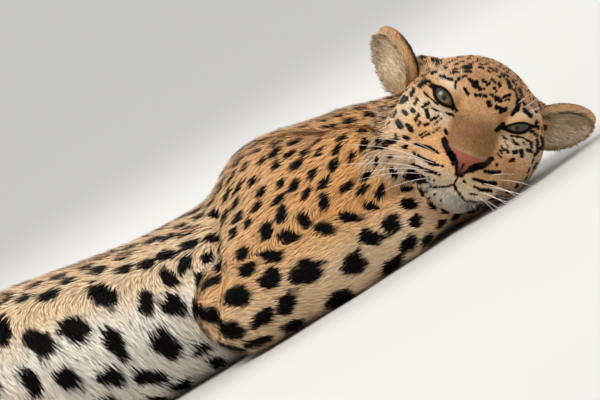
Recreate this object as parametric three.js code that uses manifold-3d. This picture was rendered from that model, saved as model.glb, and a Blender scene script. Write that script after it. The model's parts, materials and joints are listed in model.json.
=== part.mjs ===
// A leopard lying at full length on a level floor, life size and still.
// Its front half lies on its breast, its hips have rolled over to the left, and its head rests on
// the left cheek, turned to look out over the right foreleg.
// Millimetres, +Z up, +X towards the head, the animal's right side at -Y.
// The origin is on the floor under the breast.
import * as THREE from "three";
import { mergeVertices } from "three/addons/utils/BufferGeometryUtils.js";
import Module from "manifold-3d";

const wasm = await Module();
wasm.setup();

// Driving dimensions
const EYE_SPACING = 74; // between the centres of the eyeballs
const EYE_RADIUS = 15;
const HEAD_HALF_WIDTH = 80; // at the cheekbones, to the tips of the coat
const UPPER_ARM = 172; // shoulder joint to elbow
const FOREARM = 208; // elbow to wrist
const PAW_LENGTH = 98; // wrist to the ends of the toes
const THIGH = 208; // hip joint to knee
const SHANK = 200; // knee to hock
const HIND_FOOT = 165; // hock to the ends of the toes
const TAIL_RADIUS = [34, 27, 24, 22, 21, 20, 17]; // from root to tip, with the coat
const SEAM = 0.4; // gap between pieces at a flat cut
const CLEARANCE = 1; // gap between pieces that meet at a curved face
const FLOOR_SINK = 6; // soft flesh is pressed flat by this much where it lies on the floor

// Where the head lies: the point midway between the eyes, and how the head is turned
const EYES_AT = [337, -88, 90];
const HEAD_ROLL = 54; // degrees from upright, towards the left cheek
const HEAD_PITCH = 8; // degrees, nose down
const HEAD_YAW = 0;

// Sizes of the facets, from the finest to the coarsest
const HEAD_CELL = [14.8, 14.8, 14.8];
const PAW_CELL = [17, 16, 14];
const LIMB_CELL = [42, 32, 29];
const TRUNK_CELL = [64, 44, 40];
const SEAM_CELL = [52, 42, 38];

// Vectors as plain arrays of three numbers
const add = (a, b) => [a[0] + b[0], a[1] + b[1], a[2] + b[2]];
const sub = (a, b) => [a[0] - b[0], a[1] - b[1], a[2] - b[2]];
const scale = (a, s) => [a[0] * s, a[1] * s, a[2] * s];
const dot = (a, b) => a[0] * b[0] + a[1] * b[1] + a[2] * b[2];
const length = (a) => Math.sqrt(dot(a, a));
const unit = (a) => scale(a, 1 / length(a));
const cross = (a, b) => [
  a[1] * b[2] - a[2] * b[1],
  a[2] * b[0] - a[0] * b[2],
  a[0] * b[1] - a[1] * b[0],
];
const mix = (a, b, t) => add(scale(a, 1 - t), scale(b, t));
const radians = (degrees) => (degrees * Math.PI) / 180;

// The end of a bone of a given length that starts at a and points towards b
const reach = (a, b, bone) => add(a, scale(unit(sub(b, a)), bone));

// Distance functions: each takes a point and gives roughly how far it is outside the shape
function ellipsoid(centre, radii, axes = [[1, 0, 0], [0, 1, 0], [0, 0, 1]]) {
  return (p) => {
    const d = sub(p, centre);
    const q = axes.map((axis, i) => dot(d, axis) / radii[i]);
    const k0 = length(q);
    const k1 = length(q.map((x, i) => x / radii[i]));
    return k1 < 1e-9 ? -Math.min(...radii) : (k0 * (k0 - 1)) / k1;
  };
}

// A bone with flesh: a cone with round ends, its section flattened to `flat` along `up`
function cone(a, b, ra, rb, up = [0, 0, 1], flat = 1) {
  const span = length(sub(b, a));
  const along = unit(sub(b, a));
  const side = unit(cross(up, along));
  const top = cross(along, side);
  const slope = (ra - rb) / span;
  const rise = Math.sqrt(1 - slope * slope);
  return (p) => {
    const d = sub(p, a);
    const x = dot(d, along);
    const across = Math.hypot(dot(d, side), dot(d, top) / flat);
    const k = rise * x - slope * across;
    let distance = rise * across + slope * x - ra;
    if (k < 0) distance = Math.hypot(across, x) - ra;
    if (k > rise * span) distance = Math.hypot(across, x - span) - rb;
    return distance * Math.min(1, (1 + flat) / 2);
  };
}

const merge = (a, b, k) => {
  const h = Math.max(k - Math.abs(a - b), 0) / k;
  return Math.min(a, b) - (h * h * k) / 4;
};

// Joins shapes with soft fillets of size k
const blend = (k, ...shapes) => (p) => shapes.map((f) => f(p)).reduce((a, b) => merge(a, b, k));
const either = (a, b) => (p) => Math.min(a(p), b(p));
const carve = (shape, tool, k) => (p) => -merge(-shape(p), tool(p), k);

// The head's own axes: forward to the nose, right and top
const toCamera = [0, -1, 0];
const tilt = radians(HEAD_ROLL);
const faceUp = [Math.sin(tilt), 0, Math.cos(tilt)];
const pitch = radians(HEAD_PITCH);
const yaw = radians(HEAD_YAW);
const noseLevel = sub(scale(toCamera, Math.cos(pitch)), scale(faceUp, Math.sin(pitch)));
const TOP = add(scale(toCamera, Math.sin(pitch)), scale(faceUp, Math.cos(pitch)));
const rightLevel = cross(noseLevel, TOP);
const FORWARD = add(scale(noseLevel, Math.cos(yaw)), scale(rightLevel, Math.sin(yaw)));
const RIGHT = cross(FORWARD, TOP);

// A point of the head, from its distances forward, right and up of the point between the eyes
const onHead = (forward, right, up) =>
  add(EYES_AT, add(add(scale(FORWARD, forward), scale(RIGHT, right)), scale(TOP, up)));
const inHead = (p) => {
  const d = sub(p, EYES_AT);
  return [dot(d, FORWARD), dot(d, RIGHT), dot(d, TOP)];
};

// The head, in its own axes and the same on both sides: [forward, out, up]
const half = EYE_SPACING / 2;
const skull = blend(
  20,
  ellipsoid([-60, 0, -8], [70, 65, 50]), // braincase
  ellipsoid([-24, 0, 3], [42, 48, 34]), // forehead
  ellipsoid([-32, HEAD_HALF_WIDTH - 36, -24], [46, 34, 34]), // cheekbone
  ellipsoid([-44, 38, -52], [46, 36, 34]), // jaw muscle and cheek fur
  ellipsoid([0, 37, -50], [31, 29, 30]), // cheek
  ellipsoid([-80, 0, -44], [55, 56, 44]), // throat
  ellipsoid([-88, 62, 4], [22, 20, 16]), // root of the ear
);
const brow = cone([2, 20, 17], [-10, 52, 10], 12, 10);
const bridge = cone([-8, 0, -4], [58, 0, -39], 27, 20, [0.4, 0, 1], 0.85);
const muzzle = blend(
  10,
  ellipsoid([28, 0, -52], [42, 36, 29]),
  ellipsoid([42, 22, -58], [27, 23, 21]), // whisker pad
  ellipsoid([60, 0, -47], [15, 21, 15]), // nose
);
const jaw = blend(
  14,
  ellipsoid([36, 0, -84], [22, 21, 15]), // chin
  cone([28, 12, -82], [-48, 42, -58], 17, 24),
);
const face = blend(14, skull, brow, bridge, ellipsoid([12, 36, -30], [30, 26, 20]));
const socket = ellipsoid([17, half + 1, 0], [12, 17, 11]);
const headShape = blend(10, carve(face, socket, 8), muzzle, jaw);
const headFlesh = (p) => {
  const q = inHead(p);
  return headShape([q[0], Math.abs(q[1]), q[2]]);
};

// An ear is a rounded cup: its axis runs out to the side, and its mouth faces forward and out
const EAR_RADII = [38, 27, 17];
const EARS = {
  right: { side: 1, base: [-76, 84, -8], axis: [-0.2, 0.66, 0.72], facing: [0.6, 0.8, 0] },
  left: { side: -1, base: [-76, 74, -2], axis: [-0.2, 0.84, 0.54], facing: [0.86, 0.5, 0.05] },
};
const EAR_SIDES = 11;
function earRings({ side, base, axis, facing }) {
  const out = unit(axis);
  const aside = unit(cross(out, facing));
  const mouth = cross(aside, out);
  const middle = add(base, scale(out, 13));
  const [long, wide, deep] = EAR_RADII;
  const ring = (height, share, wall) =>
    Array.from({ length: EAR_SIDES }, (_, i) => {
      const angle = (i / EAR_SIDES) * 2 * Math.PI;
      const rim = add(
        scale(out, (long - wall) * share * Math.cos(angle)),
        scale(aside, (wall - wide) * share * Math.sin(angle)),
      );
      const [f, r, t] = add(middle, add(rim, scale(mouth, height)));
      return onHead(f, side * r, t);
    });
  const outside = [14, 40, 66, 92, 118].map(radians);
  const inside = [76, 54, 32, 12].map(radians);
  return [
    ...outside.map((turn) => ring(-deep * Math.cos(turn), Math.sin(turn), 0)),
    ...inside.map((turn) => ring(12 - (deep + 1) * Math.cos(turn), Math.sin(turn), 5)),
  ];
}

// The trunk: [x, middle y, middle z, half depth from back to belly, half width, roll in degrees]
const TRUNK = [
  [215, 6, 96, 20, 20, 0],
  [180, 4, 88, 62, 62, 0],
  [130, 2, 82, 80, 88, 2],
  [60, 0, 75, 80, 102, 5],
  [-30, 2, 76, 83, 106, 10],
  [-110, 6, 83, 90, 103, 18],
  [-190, 10, 90, 97, 94, 28],
  [-270, 14, 88, 92, 86, 40],
  [-340, 20, 90, 94, 88, 50],
  [-410, 26, 90, 92, 88, 56],
  [-465, 34, 84, 68, 66, 58],
  [-495, 40, 80, 20, 20, 58],
];

// A smooth curve through rows of numbers, read at a place along the first number
function through(rows, x) {
  let i = 0;
  while (i < rows.length - 2 && rows[i + 1][0] > x) i += 1;
  const at = (k) => rows[Math.max(0, Math.min(rows.length - 1, k))];
  const [before, low, high, after] = [at(i - 1), at(i), at(i + 1), at(i + 2)];
  const t = Math.max(0, Math.min(1, (x - low[0]) / (high[0] - low[0])));
  return low.map((v, j) => {
    const m0 = (high[j] - before[j]) / 2;
    const m1 = (after[j] - v) / 2;
    return (
      (2 * t ** 3 - 3 * t ** 2 + 1) * v +
      (t ** 3 - 2 * t ** 2 + t) * m0 +
      (3 * t ** 2 - 2 * t ** 3) * high[j] +
      (t ** 3 - t ** 2) * m1
    );
  });
}
const trunkShape = (p) => {
  const [, y, z, depth, width, roll] = through(TRUNK, p[0]);
  const c = Math.cos(radians(roll));
  const s = Math.sin(radians(roll));
  const [dy, dz] = [p[1] - y, p[2] - z];
  const back = dy * s + dz * c;
  const side = dy * c - dz * s;
  const section = (Math.hypot(side / width, back / depth) - 1) * Math.min(depth, width);
  return Math.max(section, p[0] - TRUNK[0][0], TRUNK.at(-1)[0] - p[0]);
};

// Neck: from between the shoulders round to the back of the skull
const nape = onHead(-105, 0, -15);
const neckShape = blend(
  30,
  cone([132, 6, 92], [205, 34, 90], 74, 65),
  cone([205, 34, 90], [262, 50, 82], 65, 56),
  cone([262, 50, 82], nape, 56, 50),
  cone([150, 0, 74], onHead(-66, 6, -52), 58, 44), // throat
);

// Legs
const legs = {
  foreleg_right: { side: -1, blade: [112, -48, 131], joint: [194, -76, 98], elbow: [36, -118, 50] },
  foreleg_left: { side: 1, blade: [112, 48, 131], joint: [194, 78, 98], elbow: [36, 120, 50] },
};
const WRISTS = { foreleg_right: [242, -84, 34], foreleg_left: [238, 128, 33] };
const TOES = { foreleg_right: [312, -18, 18], foreleg_left: [330, 152, 18] };

// A paw from its joint to the ends of its four toes
function paw(joint, toward, long, wide) {
  const ahead = unit(sub(toward, joint));
  const aside = unit(cross([0, 0, 1], ahead));
  const knuckles = add(joint, scale(ahead, long * 0.55));
  knuckles[2] = 21;
  const shapes = [cone(joint, knuckles, 27, 27, [0, 0, 1], 0.85)];
  for (const place of [-1.5, -0.5, 0.5, 1.5]) {
    const out = scale(aside, place * wide * 0.25);
    const start = add(knuckles, scale(out, 0.9));
    const short = Math.abs(place) > 1 ? 0.84 : 1;
    const end = add(joint, add(scale(ahead, long * short - 11), scale(out, 1.1)));
    end[2] = 11;
    shapes.push(cone(start, end, 15, 12.5));
  }
  return blend(7, ...shapes);
}

function foreleg(name) {
  const { side, blade, joint } = legs[name];
  const elbow = reach(joint, legs[name].elbow, UPPER_ARM);
  const wrist = reach(elbow, WRISTS[name], FOREARM);
  const thickest = add(mix(elbow, wrist, 0.46), [0, 0, 4]);
  const slim = mix(elbow, wrist, 0.8);
  const out = [0, side, 0.35];
  const upper = blend(
    26,
    cone(blade, joint, 38, 48, out, 0.72), // shoulder blade
    cone(joint, elbow, 52, 44, out, 0.86), // upper arm
    cone(mix(blade, joint, 0.25), mix(joint, elbow, 0.8), 52, 46, out, 0.74), // triceps
  );
  const lower = blend(
    16,
    cone(elbow, thickest, 50, 51),
    cone(thickest, slim, 51, 38),
    cone(slim, wrist, 38, 27),
  );
  return { elbow, wrist, upper, lower, foot: paw(wrist, TOES[name], PAW_LENGTH, 72) };
}

const HIND = {
  hindleg_right: { hip: [-402, -4, 118], knee: [-288, -130, 84], hock: [-424, -240, 40], toes: [-296, -310, 18] },
  hindleg_left: { hip: [-398, 46, 62], knee: [-236, -50, 48], hock: [-318, -184, 30], toes: [-222, -262, 18] },
};
function hindleg(name) {
  const { hip } = HIND[name];
  const knee = reach(hip, HIND[name].knee, THIGH);
  const hock = reach(knee, HIND[name].hock, SHANK);
  const bend = add(hock, scale(unit(sub(HIND[name].toes, hock)), HIND_FOOT * 0.45));
  const across = unit(cross(sub(knee, hip), sub(hock, knee)));
  const upper = blend(
    30,
    cone(hip, knee, 78, 46, across, 0.62),
    cone(add(hip, [-36, -6, -18]), mix(knee, hock, 0.28), 58, 38, across, 0.6), // hamstrings
  );
  const calf = mix(knee, hock, 0.4);
  const lower = blend(16, cone(knee, calf, 45, 36), cone(calf, hock, 36, 24));
  const foot = blend(
    10,
    cone(hock, bend, 24, 22),
    paw(mix(hock, bend, 0.75), HIND[name].toes, HIND_FOOT * 0.72, 66),
  );
  return { hip, knee, hock, upper, lower, foot };
}

// Tail: laid along the floor in one easy curve
const TAIL_PATH = [
  [-455, 48, 98],
  [-540, 78, 52],
  [-650, 84, 25],
  [-760, 48, 21],
  [-846, -34, 19],
  [-888, -146, 18],
  [-868, -262, 15],
];
const tailCurve = new THREE.CatmullRomCurve3(TAIL_PATH.map((p) => new THREE.Vector3(...p)));
const TAIL_RINGS = 11;
const TAIL_SIDES = 8;
const tailRadius = (share) => {
  const k = share * (TAIL_RADIUS.length - 1);
  const low = Math.min(Math.floor(k), TAIL_RADIUS.length - 2);
  return TAIL_RADIUS[low] + (TAIL_RADIUS[low + 1] - TAIL_RADIUS[low]) * (k - low);
};
function tailRing(share) {
  const middle = tailCurve.getPointAt(share).toArray();
  const along = tailCurve.getTangentAt(share).toArray();
  const side = unit(cross([0, 0, 1], along));
  const top = cross(along, side);
  const radius = tailRadius(share) * (share === 1 ? 0.5 : 1);
  return Array.from({ length: TAIL_SIDES }, (_, i) => {
    const angle = (i / TAIL_SIDES) * 2 * Math.PI;
    return add(middle, add(scale(side, radius * Math.cos(angle)), scale(top, radius * Math.sin(angle))));
  });
}

// The whole animal
const forelegs = { right: foreleg("foreleg_right"), left: foreleg("foreleg_left") };
const hindlegs = { right: hindleg("hindleg_right"), left: hindleg("hindleg_left") };
const rump = ellipsoid([-430, 28, 92], [66, 80, 78]);
const trunk = blend(36, trunkShape, rump);
const torso = blend(
  34,
  blend(46, trunk, neckShape),
  forelegs.right.upper,
  forelegs.left.upper,
);
const torsoAndHips = blend(30, torso, hindlegs.right.upper, hindlegs.left.upper);
const withHead = blend(30, torsoAndHips, headFlesh);

// A point moved on to the surface of a shape, by no more than a third of a cell
function ontoSurface(shape, p, cell) {
  const here = shape(p);
  const slope = [0, 1, 2].map((i) => shape(p.map((v, j) => v + (i === j ? 0.5 : 0))) - here);
  const steepness = length(slope) / 0.5;
  if (steepness < 0.2) return p;
  const move = Math.max(-cell / 3, Math.min(cell / 3, here / steepness));
  return sub(p, scale(unit(slope), move));
}

// Meshing: one vertex in each cell that the surface crosses, joined across each crossed edge
function meshOf(shape, low, high, cell) {
  const count = low.map((v, i) => Math.ceil((high[i] - v) / cell[i]) + 2);
  const place = (...at) => at.map((n, i) => low[i] + (n - 0.5) * cell[i]);
  const index = (i, j, k) => (k * count[1] + j) * count[0] + i;
  const values = new Float64Array(count[0] * count[1] * count[2]).fill(cell[0]);
  for (let k = 1; k < count[2] - 1; k += 1)
    for (let j = 1; j < count[1] - 1; j += 1)
      for (let i = 1; i < count[0] - 1; i += 1) {
        const value = shape(place(i, j, k));
        values[index(i, j, k)] = value === 0 ? 1e-6 : value;
      }
  const corners = [0, 1, 2, 3, 4, 5, 6, 7].map((c) => [c & 1, (c >> 1) & 1, c >> 2]);
  const edges = [];
  corners.forEach((a, i) =>
    corners.forEach((b, j) => {
      if (j > i && Math.abs(a[0] - b[0]) + Math.abs(a[1] - b[1]) + Math.abs(a[2] - b[2]) === 1)
        edges.push([a, b]);
    }),
  );
  const vertices = [];
  const vertexOf = new Map();
  const vertexAt = (i, j, k) => {
    const key = index(i, j, k);
    if (vertexOf.has(key)) return vertexOf.get(key);
    let sum = [0, 0, 0];
    let crossings = 0;
    for (const [a, b] of edges) {
      const va = values[index(i + a[0], j + a[1], k + a[2])];
      const vb = values[index(i + b[0], j + b[1], k + b[2])];
      if (va > 0 === vb > 0) continue;
      const from = place(i + a[0], j + a[1], k + a[2]);
      const to = place(i + b[0], j + b[1], k + b[2]);
      sum = add(sum, mix(from, to, va / (va - vb)));
      crossings += 1;
    }
    vertices.push(...ontoSurface(shape, scale(sum, 1 / crossings), Math.min(...cell)));
    vertexOf.set(key, vertices.length / 3 - 1);
    return vertices.length / 3 - 1;
  };
  const triangles = [];
  const steps = [[1, 0, 0], [0, 1, 0], [0, 0, 1]];
  for (let k = 0; k < count[2] - 1; k += 1)
    for (let j = 0; j < count[1] - 1; j += 1)
      for (let i = 0; i < count[0] - 1; i += 1)
        steps.forEach((step, axis) => {
          const here = values[index(i, j, k)];
          const there = values[index(i + step[0], j + step[1], k + step[2])];
          if (here > 0 === there > 0) return;
          const u = steps[(axis + 1) % 3];
          const v = steps[(axis + 2) % 3];
          const ring = [[0, 0], [1, 0], [1, 1], [0, 1]].map(([a, b]) =>
            vertexAt(i - a * u[0] - b * v[0], j - a * u[1] - b * v[1], k - a * u[2] - b * v[2]),
          );
          if (here > 0) ring.reverse();
          triangles.push(ring[0], ring[1], ring[2], ring[0], ring[2], ring[3]);
        });
  return { vertices, triangles };
}

// Solids for joining and cutting
const solid = (vertices, triangles) =>
  new wasm.Manifold(
    new wasm.Mesh({
      numProp: 3,
      vertProperties: new Float32Array(vertices),
      triVerts: new Uint32Array(triangles),
    }),
  );
function solidOf(geometry) {
  const bare = geometry.index ? geometry.toNonIndexed() : geometry.clone();
  bare.deleteAttribute("normal");
  bare.deleteAttribute("uv");
  const merged = mergeVertices(bare, 1e-3);
  return solid(merged.attributes.position.array, merged.index.array);
}
// Rings of points joined one to the next, and closed at both ends
function loft(rings, mirrored = false) {
  const sides = rings[0].length;
  const last = (rings.length - 1) * sides;
  const triangles = [];
  for (let i = 0; i < last; i += sides)
    for (let j = 0; j < sides; j += 1) {
      const next = (j + 1) % sides;
      triangles.push(i + j, i + next, i + next + sides, i + j, i + next + sides, i + j + sides);
    }
  for (let j = 1; j < sides - 1; j += 1) triangles.push(0, j + 1, j, last, last + j, last + j + 1);
  return solid(rings.flat(2), mirrored ? triangles.reverse() : triangles);
}
const BIG = 3000;
// Everything on the side of a plane that its normal points to
function beyond(point, normal, shift = 0) {
  const box = new THREE.BoxGeometry(BIG, BIG, BIG);
  box.translate(0, 0, BIG / 2 + shift);
  box.applyQuaternion(
    new THREE.Quaternion().setFromUnitVectors(new THREE.Vector3(0, 0, 1), new THREE.Vector3(...unit(normal))),
  );
  box.translate(...point);
  return solidOf(box);
}
const aboveFloor = beyond([0, 0, 0], [0, 0, 1]);
// Both sides of a cut, with the seam's gap between them
const cut = (body, point, normal) => [
  body.intersect(beyond(point, normal, SEAM / 2)),
  body.intersect(beyond(point, scale(normal, -1), SEAM / 2)),
];
// A shape's solid above the floor, and one a little larger that clears it
function solidAndClear(shape, [low, high], cell) {
  const bottom = Math.min(low[2], -cell[2] - FLOOR_SINK);
  const [own, grown] = [0, CLEARANCE].map((extra) => {
    const { vertices, triangles } = meshOf((p) => shape(p) - extra, [low[0], low[1], bottom], high, cell);
    return solid(vertices, triangles).intersect(aboveFloor);
  });
  return [own, own.add(grown)];
}
const solidOfShape = (shape, box, cell) => solidAndClear(shape, box, cell)[0];
// The largest piece, without the crumbs that a cut may leave
const largest = (body) => body.decompose().sort((a, b) => b.volume() - a.volume())[0];

const solids = {};
const TRUNK_BOX = [[-560, -190, 0], [340, 200, 230]];

// A cell that holds one limb: the limb's own shape grown a little, on one side of some planes.
// The tight one keeps the piece and the loose one clears its neighbours, a seam apart.
function cellOf(shape, grow, box, planes) {
  const [own, grown] = solidAndClear((p) => shape(p) - grow, box, SEAM_CELL);
  const within = (body, shift) =>
    planes.reduce((part, [point, normal]) => part.intersect(beyond(point, normal, shift)), body);
  return { tight: within(own, SEAM / 2), loose: within(grown, -SEAM / 2) };
}
const boxAround = (points, margin) => [
  [0, 1, 2].map((i) => Math.min(...points.map((p) => p[i])) - margin),
  [0, 1, 2].map((i) => Math.max(...points.map((p) => p[i])) + margin),
];

// Pieces are claimed one after another, and each leaves out what the ones before it cleared
const cleared = [];
const without = (body, cells) => cells.reduce((part, cell) => part.subtract(cell), body);
function claim(name, body, clear) {
  solids[name] = largest(without(body, cleared));
  cleared.push(clear);
}

// Forearms and forepaws
const upperArms = [];
for (const [name, side] of [["right", -1], ["left", 1]]) {
  const leg = forelegs[name];
  const box = boxAround([legs[`foreleg_${name}`].blade, leg.elbow, leg.wrist], 95);
  const whole = solidOfShape(blend(12, torsoAndHips, leg.lower), box, LIMB_CELL);
  const lower = cellOf(leg.lower, 9, box, [
    [[137, 0, 100], [0.34, 0, -0.94]],
    [[137, 0, 100], [-0.28, 0, -0.96]],
    [mix(leg.elbow, leg.wrist, 0.93), sub(leg.elbow, leg.wrist)],
  ]);
  claim(`forearm_${name}`, whole.intersect(lower.tight), lower.loose);
  const footBox = boxAround([leg.wrist, TOES[`foreleg_${name}`]], 58);
  claim(`forepaw_${name}`, ...solidAndClear(blend(8, leg.lower, leg.foot), footBox, PAW_CELL));
  const upper = cellOf(either(leg.upper, leg.lower), 12, box, [[[0, side * 58, 90], [0, side * 0.95, 0.3]]]);
  upperArms.push([`upper_arm_${name}`, whole.intersect(upper.tight), upper.loose]);
}

// Head, ears and eyes
const HEAD_BOX = [[236, -190, 0], [470, 150, 220]];
const headEnd = [[onHead(-90, 0, -30), [0.42, -0.9, -0.05]], [[246, 0, 0], [1, 0, 0]]];
const headSide = (shift) => headEnd
  .map(([point, normal]) => beyond(point, normal, shift))
  .reduce((a, b) => a.intersect(b));
const [headAndNeck, headClear] = solidAndClear(withHead, HEAD_BOX, HEAD_CELL);
const sphere = (centre, radius) => {
  const ball = new THREE.IcosahedronGeometry(radius, 1);
  ball.translate(...centre);
  return solidOf(ball);
};
const sockets = [];
for (const [name, ear] of Object.entries(EARS)) {
  const eye = onHead(0, ear.side * half, 0);
  solids[`eye_${name}`] = sphere(eye, EYE_RADIUS);
  sockets.push(sphere(eye, EYE_RADIUS + SEAM));
  const cup = loft(earRings(ear), ear.side > 0);
  solids[`ear_${name}`] = largest(cup.intersect(aboveFloor).subtract(headClear));
}
claim("head", without(headAndNeck, sockets).intersect(headSide(SEAM / 2)), headSide(-SEAM / 2));
for (const piece of upperArms) claim(...piece);

// Hind legs
for (const name of ["right", "left"]) {
  const leg = hindlegs[name];
  const box = boxAround([leg.hip, leg.knee, leg.hock], 97);
  const whole = solidOfShape(blend(12, torsoAndHips, leg.lower), box, LIMB_CELL);
  const kneeCut = mix(leg.knee, leg.hock, 0.12);
  const down = sub(leg.hock, leg.knee);
  const thigh = sub(leg.knee, leg.hip);
  const lower = cellOf(leg.lower, 9, box, [
    [kneeCut, down],
    [mix(leg.knee, leg.hock, 0.9), scale(down, -1)],
  ]);
  claim(`shank_${name}`, whole.intersect(lower.tight), lower.loose);
  const footBox = boxAround([leg.hock, HIND[`hindleg_${name}`].toes], 58);
  claim(`hind_foot_${name}`, ...solidAndClear(blend(8, leg.lower, leg.foot), footBox, PAW_CELL));
  const upper = cellOf(either(leg.upper, leg.lower), 10, box, [
    [add(leg.hip, scale(unit(thigh), 20)), thigh],
    [kneeCut, scale(down, -1)],
  ]);
  claim(`thigh_${name}`, whole.intersect(upper.tight), upper.loose);
}

// Trunk and neck
const [body, bodyClear] = solidAndClear(torsoAndHips, TRUNK_BOX, TRUNK_CELL);
let rest = without(body, cleared);
const cuts = {
  neck: [[172, 10, 95], [0.9, 0.42, 0]],
  chest: [[-70, 0, 90], [1, 0, 0]],
  abdomen: [[-285, 0, 90], [1, 0, 0]],
};
for (const [name, [point, normal]] of Object.entries(cuts)) {
  const [front, back] = cut(rest, point, normal);
  solids[name] = largest(front);
  rest = back;
}
solids.pelvis = largest(rest);

// Tail
const tailRings = Array.from({ length: TAIL_RINGS + 1 }, (_, i) => tailRing(i / TAIL_RINGS));
let tail = loft(tailRings).intersect(aboveFloor).subtract(bodyClear);
for (const [name, share] of [["tail_root", 0.36], ["tail_middle", 0.7]]) {
  const place = tailCurve.getPointAt(share).toArray();
  const [after, before] = cut(tail, place, tailCurve.getTangentAt(share).toArray());
  solids[name] = largest(before);
  tail = after;
}
solids.tail_tip = largest(tail);

// Colours of the coat, eyes and nose
const coat = new THREE.MeshStandardMaterial({ color: 0xc89a5e, roughness: 0.9 });
const pale = new THREE.MeshStandardMaterial({ color: 0xe6dccb, roughness: 0.95 });
const iris = new THREE.MeshStandardMaterial({ color: 0x7c7a4a, roughness: 0.15 });
const materials = { eye: iris, abdomen: pale };

// The geometry of a solid, with corners closer than WELD made one and the slivers between them left out
const WELD = 0.05;
function geometryOf(body) {
  const { vertProperties, triVerts } = body.getMesh();
  const geometry = new THREE.BufferGeometry();
  geometry.setAttribute("position", new THREE.BufferAttribute(vertProperties, 3));
  geometry.setIndex(new THREE.BufferAttribute(triVerts, 1));
  const welded = mergeVertices(geometry, WELD);
  const faces = new Map();
  for (let i = 0; i < welded.index.count; i += 3) {
    const face = Array.from(welded.index.array.slice(i, i + 3));
    if (new Set(face).size < 3) continue;
    const key = face.toSorted((a, b) => a - b).join();
    if (faces.has(key)) faces.delete(key);
    else faces.set(key, face);
  }
  welded.setIndex([...faces.values()].flat());
  return welded;
}

const leopard = new THREE.Group();
for (const [name, body] of Object.entries(solids)) {
  const geometry = geometryOf(body);
  const part = new THREE.Mesh(geometry, materials[name.split("_")[0]] ?? coat);
  part.name = name;
  leopard.add(part);
}

export default leopard;
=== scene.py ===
# %% [markdown]
# # A leopard lying with its head turned
# The solids of the animal come in as the frame. This lesson grows one skin just inside them, then
# eyes, a spotted coat and whiskers on that skin.

# %% Load the frame and the tools
import json
import math
import time

import bpy
import numpy as np
from mathutils import Matrix, Vector

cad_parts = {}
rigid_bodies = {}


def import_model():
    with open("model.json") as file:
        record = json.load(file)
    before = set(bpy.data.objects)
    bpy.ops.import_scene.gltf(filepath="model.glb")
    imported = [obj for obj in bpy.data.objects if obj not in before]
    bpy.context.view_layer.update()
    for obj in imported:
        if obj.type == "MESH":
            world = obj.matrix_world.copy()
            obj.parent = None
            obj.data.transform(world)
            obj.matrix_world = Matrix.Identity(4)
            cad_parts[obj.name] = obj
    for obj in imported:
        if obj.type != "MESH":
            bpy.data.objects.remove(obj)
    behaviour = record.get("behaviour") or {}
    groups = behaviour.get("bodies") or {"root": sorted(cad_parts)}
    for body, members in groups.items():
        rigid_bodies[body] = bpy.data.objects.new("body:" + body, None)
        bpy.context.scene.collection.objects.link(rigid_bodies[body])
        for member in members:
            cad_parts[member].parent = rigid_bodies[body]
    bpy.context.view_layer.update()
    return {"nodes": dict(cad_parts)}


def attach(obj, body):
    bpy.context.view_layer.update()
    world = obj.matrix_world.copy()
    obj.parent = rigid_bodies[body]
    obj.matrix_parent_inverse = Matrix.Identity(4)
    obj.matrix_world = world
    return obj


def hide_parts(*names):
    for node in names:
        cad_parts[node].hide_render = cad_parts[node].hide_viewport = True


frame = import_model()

rng = np.random.default_rng(7)
print("solids:", len(frame["nodes"]), "nodes")

# %% [markdown]
# The skin has to lie inside the solids all over, by the depth of the coat. The sure way is to describe
# the same body again with the same sizes: rounded cones for bones with flesh on them, ellipsoids for
# masses, and soft fillets where they join. Each shape is a function that tells how far a point is
# outside it. Lengths are in millimetres here and become metres when the meshes are made.

# %% Distance functions
def unit(v):
    v = np.asarray(v, dtype=float)
    return v / np.maximum(np.linalg.norm(v, axis=-1, keepdims=True), 1e-9)


def ramp(x, low, high):
    """0 up to low, 1 from high on, and a soft step between. low may be the larger of the two."""
    t = np.clip((x - low) / (high - low), 0, 1)
    return t * t * (3 - 2 * t)


def ellipsoid(centre, radii, axes=None):
    """The distance to an ellipsoid, close enough near its surface."""
    centre = np.array(centre, float)
    radii = np.array(radii, float)
    axes = np.eye(3) if axes is None else np.array(axes, float)

    def distance(p):
        q = ((p - centre) @ axes.T) / radii
        k0 = np.linalg.norm(q, axis=1)
        k1 = np.linalg.norm(q / radii, axis=1)
        return k0 * (k0 - 1) / np.maximum(k1, 1e-9)

    return distance


def cone(a, b, ra, rb, up=(0, 0, 1), flat=1.0):
    """The distance to a round-ended cone from a to b. flat squeezes it along up."""
    a = np.array(a, float)
    b = np.array(b, float)
    span = np.linalg.norm(b - a)
    along = unit(b - a)
    side = unit(np.cross(up, along))
    top = np.cross(along, side)
    slope = (ra - rb) / span
    rise = math.sqrt(1 - slope * slope)

    def distance(p):
        d = p - a
        x = d @ along
        across = np.hypot(d @ side, (d @ top) / flat)
        k = rise * x - slope * across
        body = rise * across + slope * x - ra
        body = np.where(k < 0, np.hypot(across, x) - ra, body)
        body = np.where(k > rise * span, np.hypot(across, x - span) - rb, body)
        return body * min(1, (1 + flat) / 2)

    return distance


def merge(a, b, k):
    """The smaller of two distances, with a fillet of about k where they are alike."""
    h = np.maximum(k - np.abs(a - b), 0) / k
    return np.minimum(a, b) - h * h * k / 4


def blend(k, *shapes):
    """One shape out of several, with fillets between them."""

    def distance(p):
        out = shapes[0](p)
        for shape in shapes[1:]:
            out = merge(out, shape(p), k)
        return out

    return distance


def carve(shape, tool, k):
    """A shape with another cut out of it."""
    return lambda p: -merge(-shape(p), tool(p), k)


test_ball = ellipsoid([0, 0, 0], [10, 10, 10])
print("13 mm from the middle of a 10 mm ball is", test_ball(np.array([[13.0, 0, 0]]))[0], "mm outside")

# %% [markdown]
# The head has its own axes, because it is rolled on to its left cheek and looks out sideways: forward
# to the nose, out to the animal's right, and up to the crown. The two halves of a head match, so it is
# made once and folded over.

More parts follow.
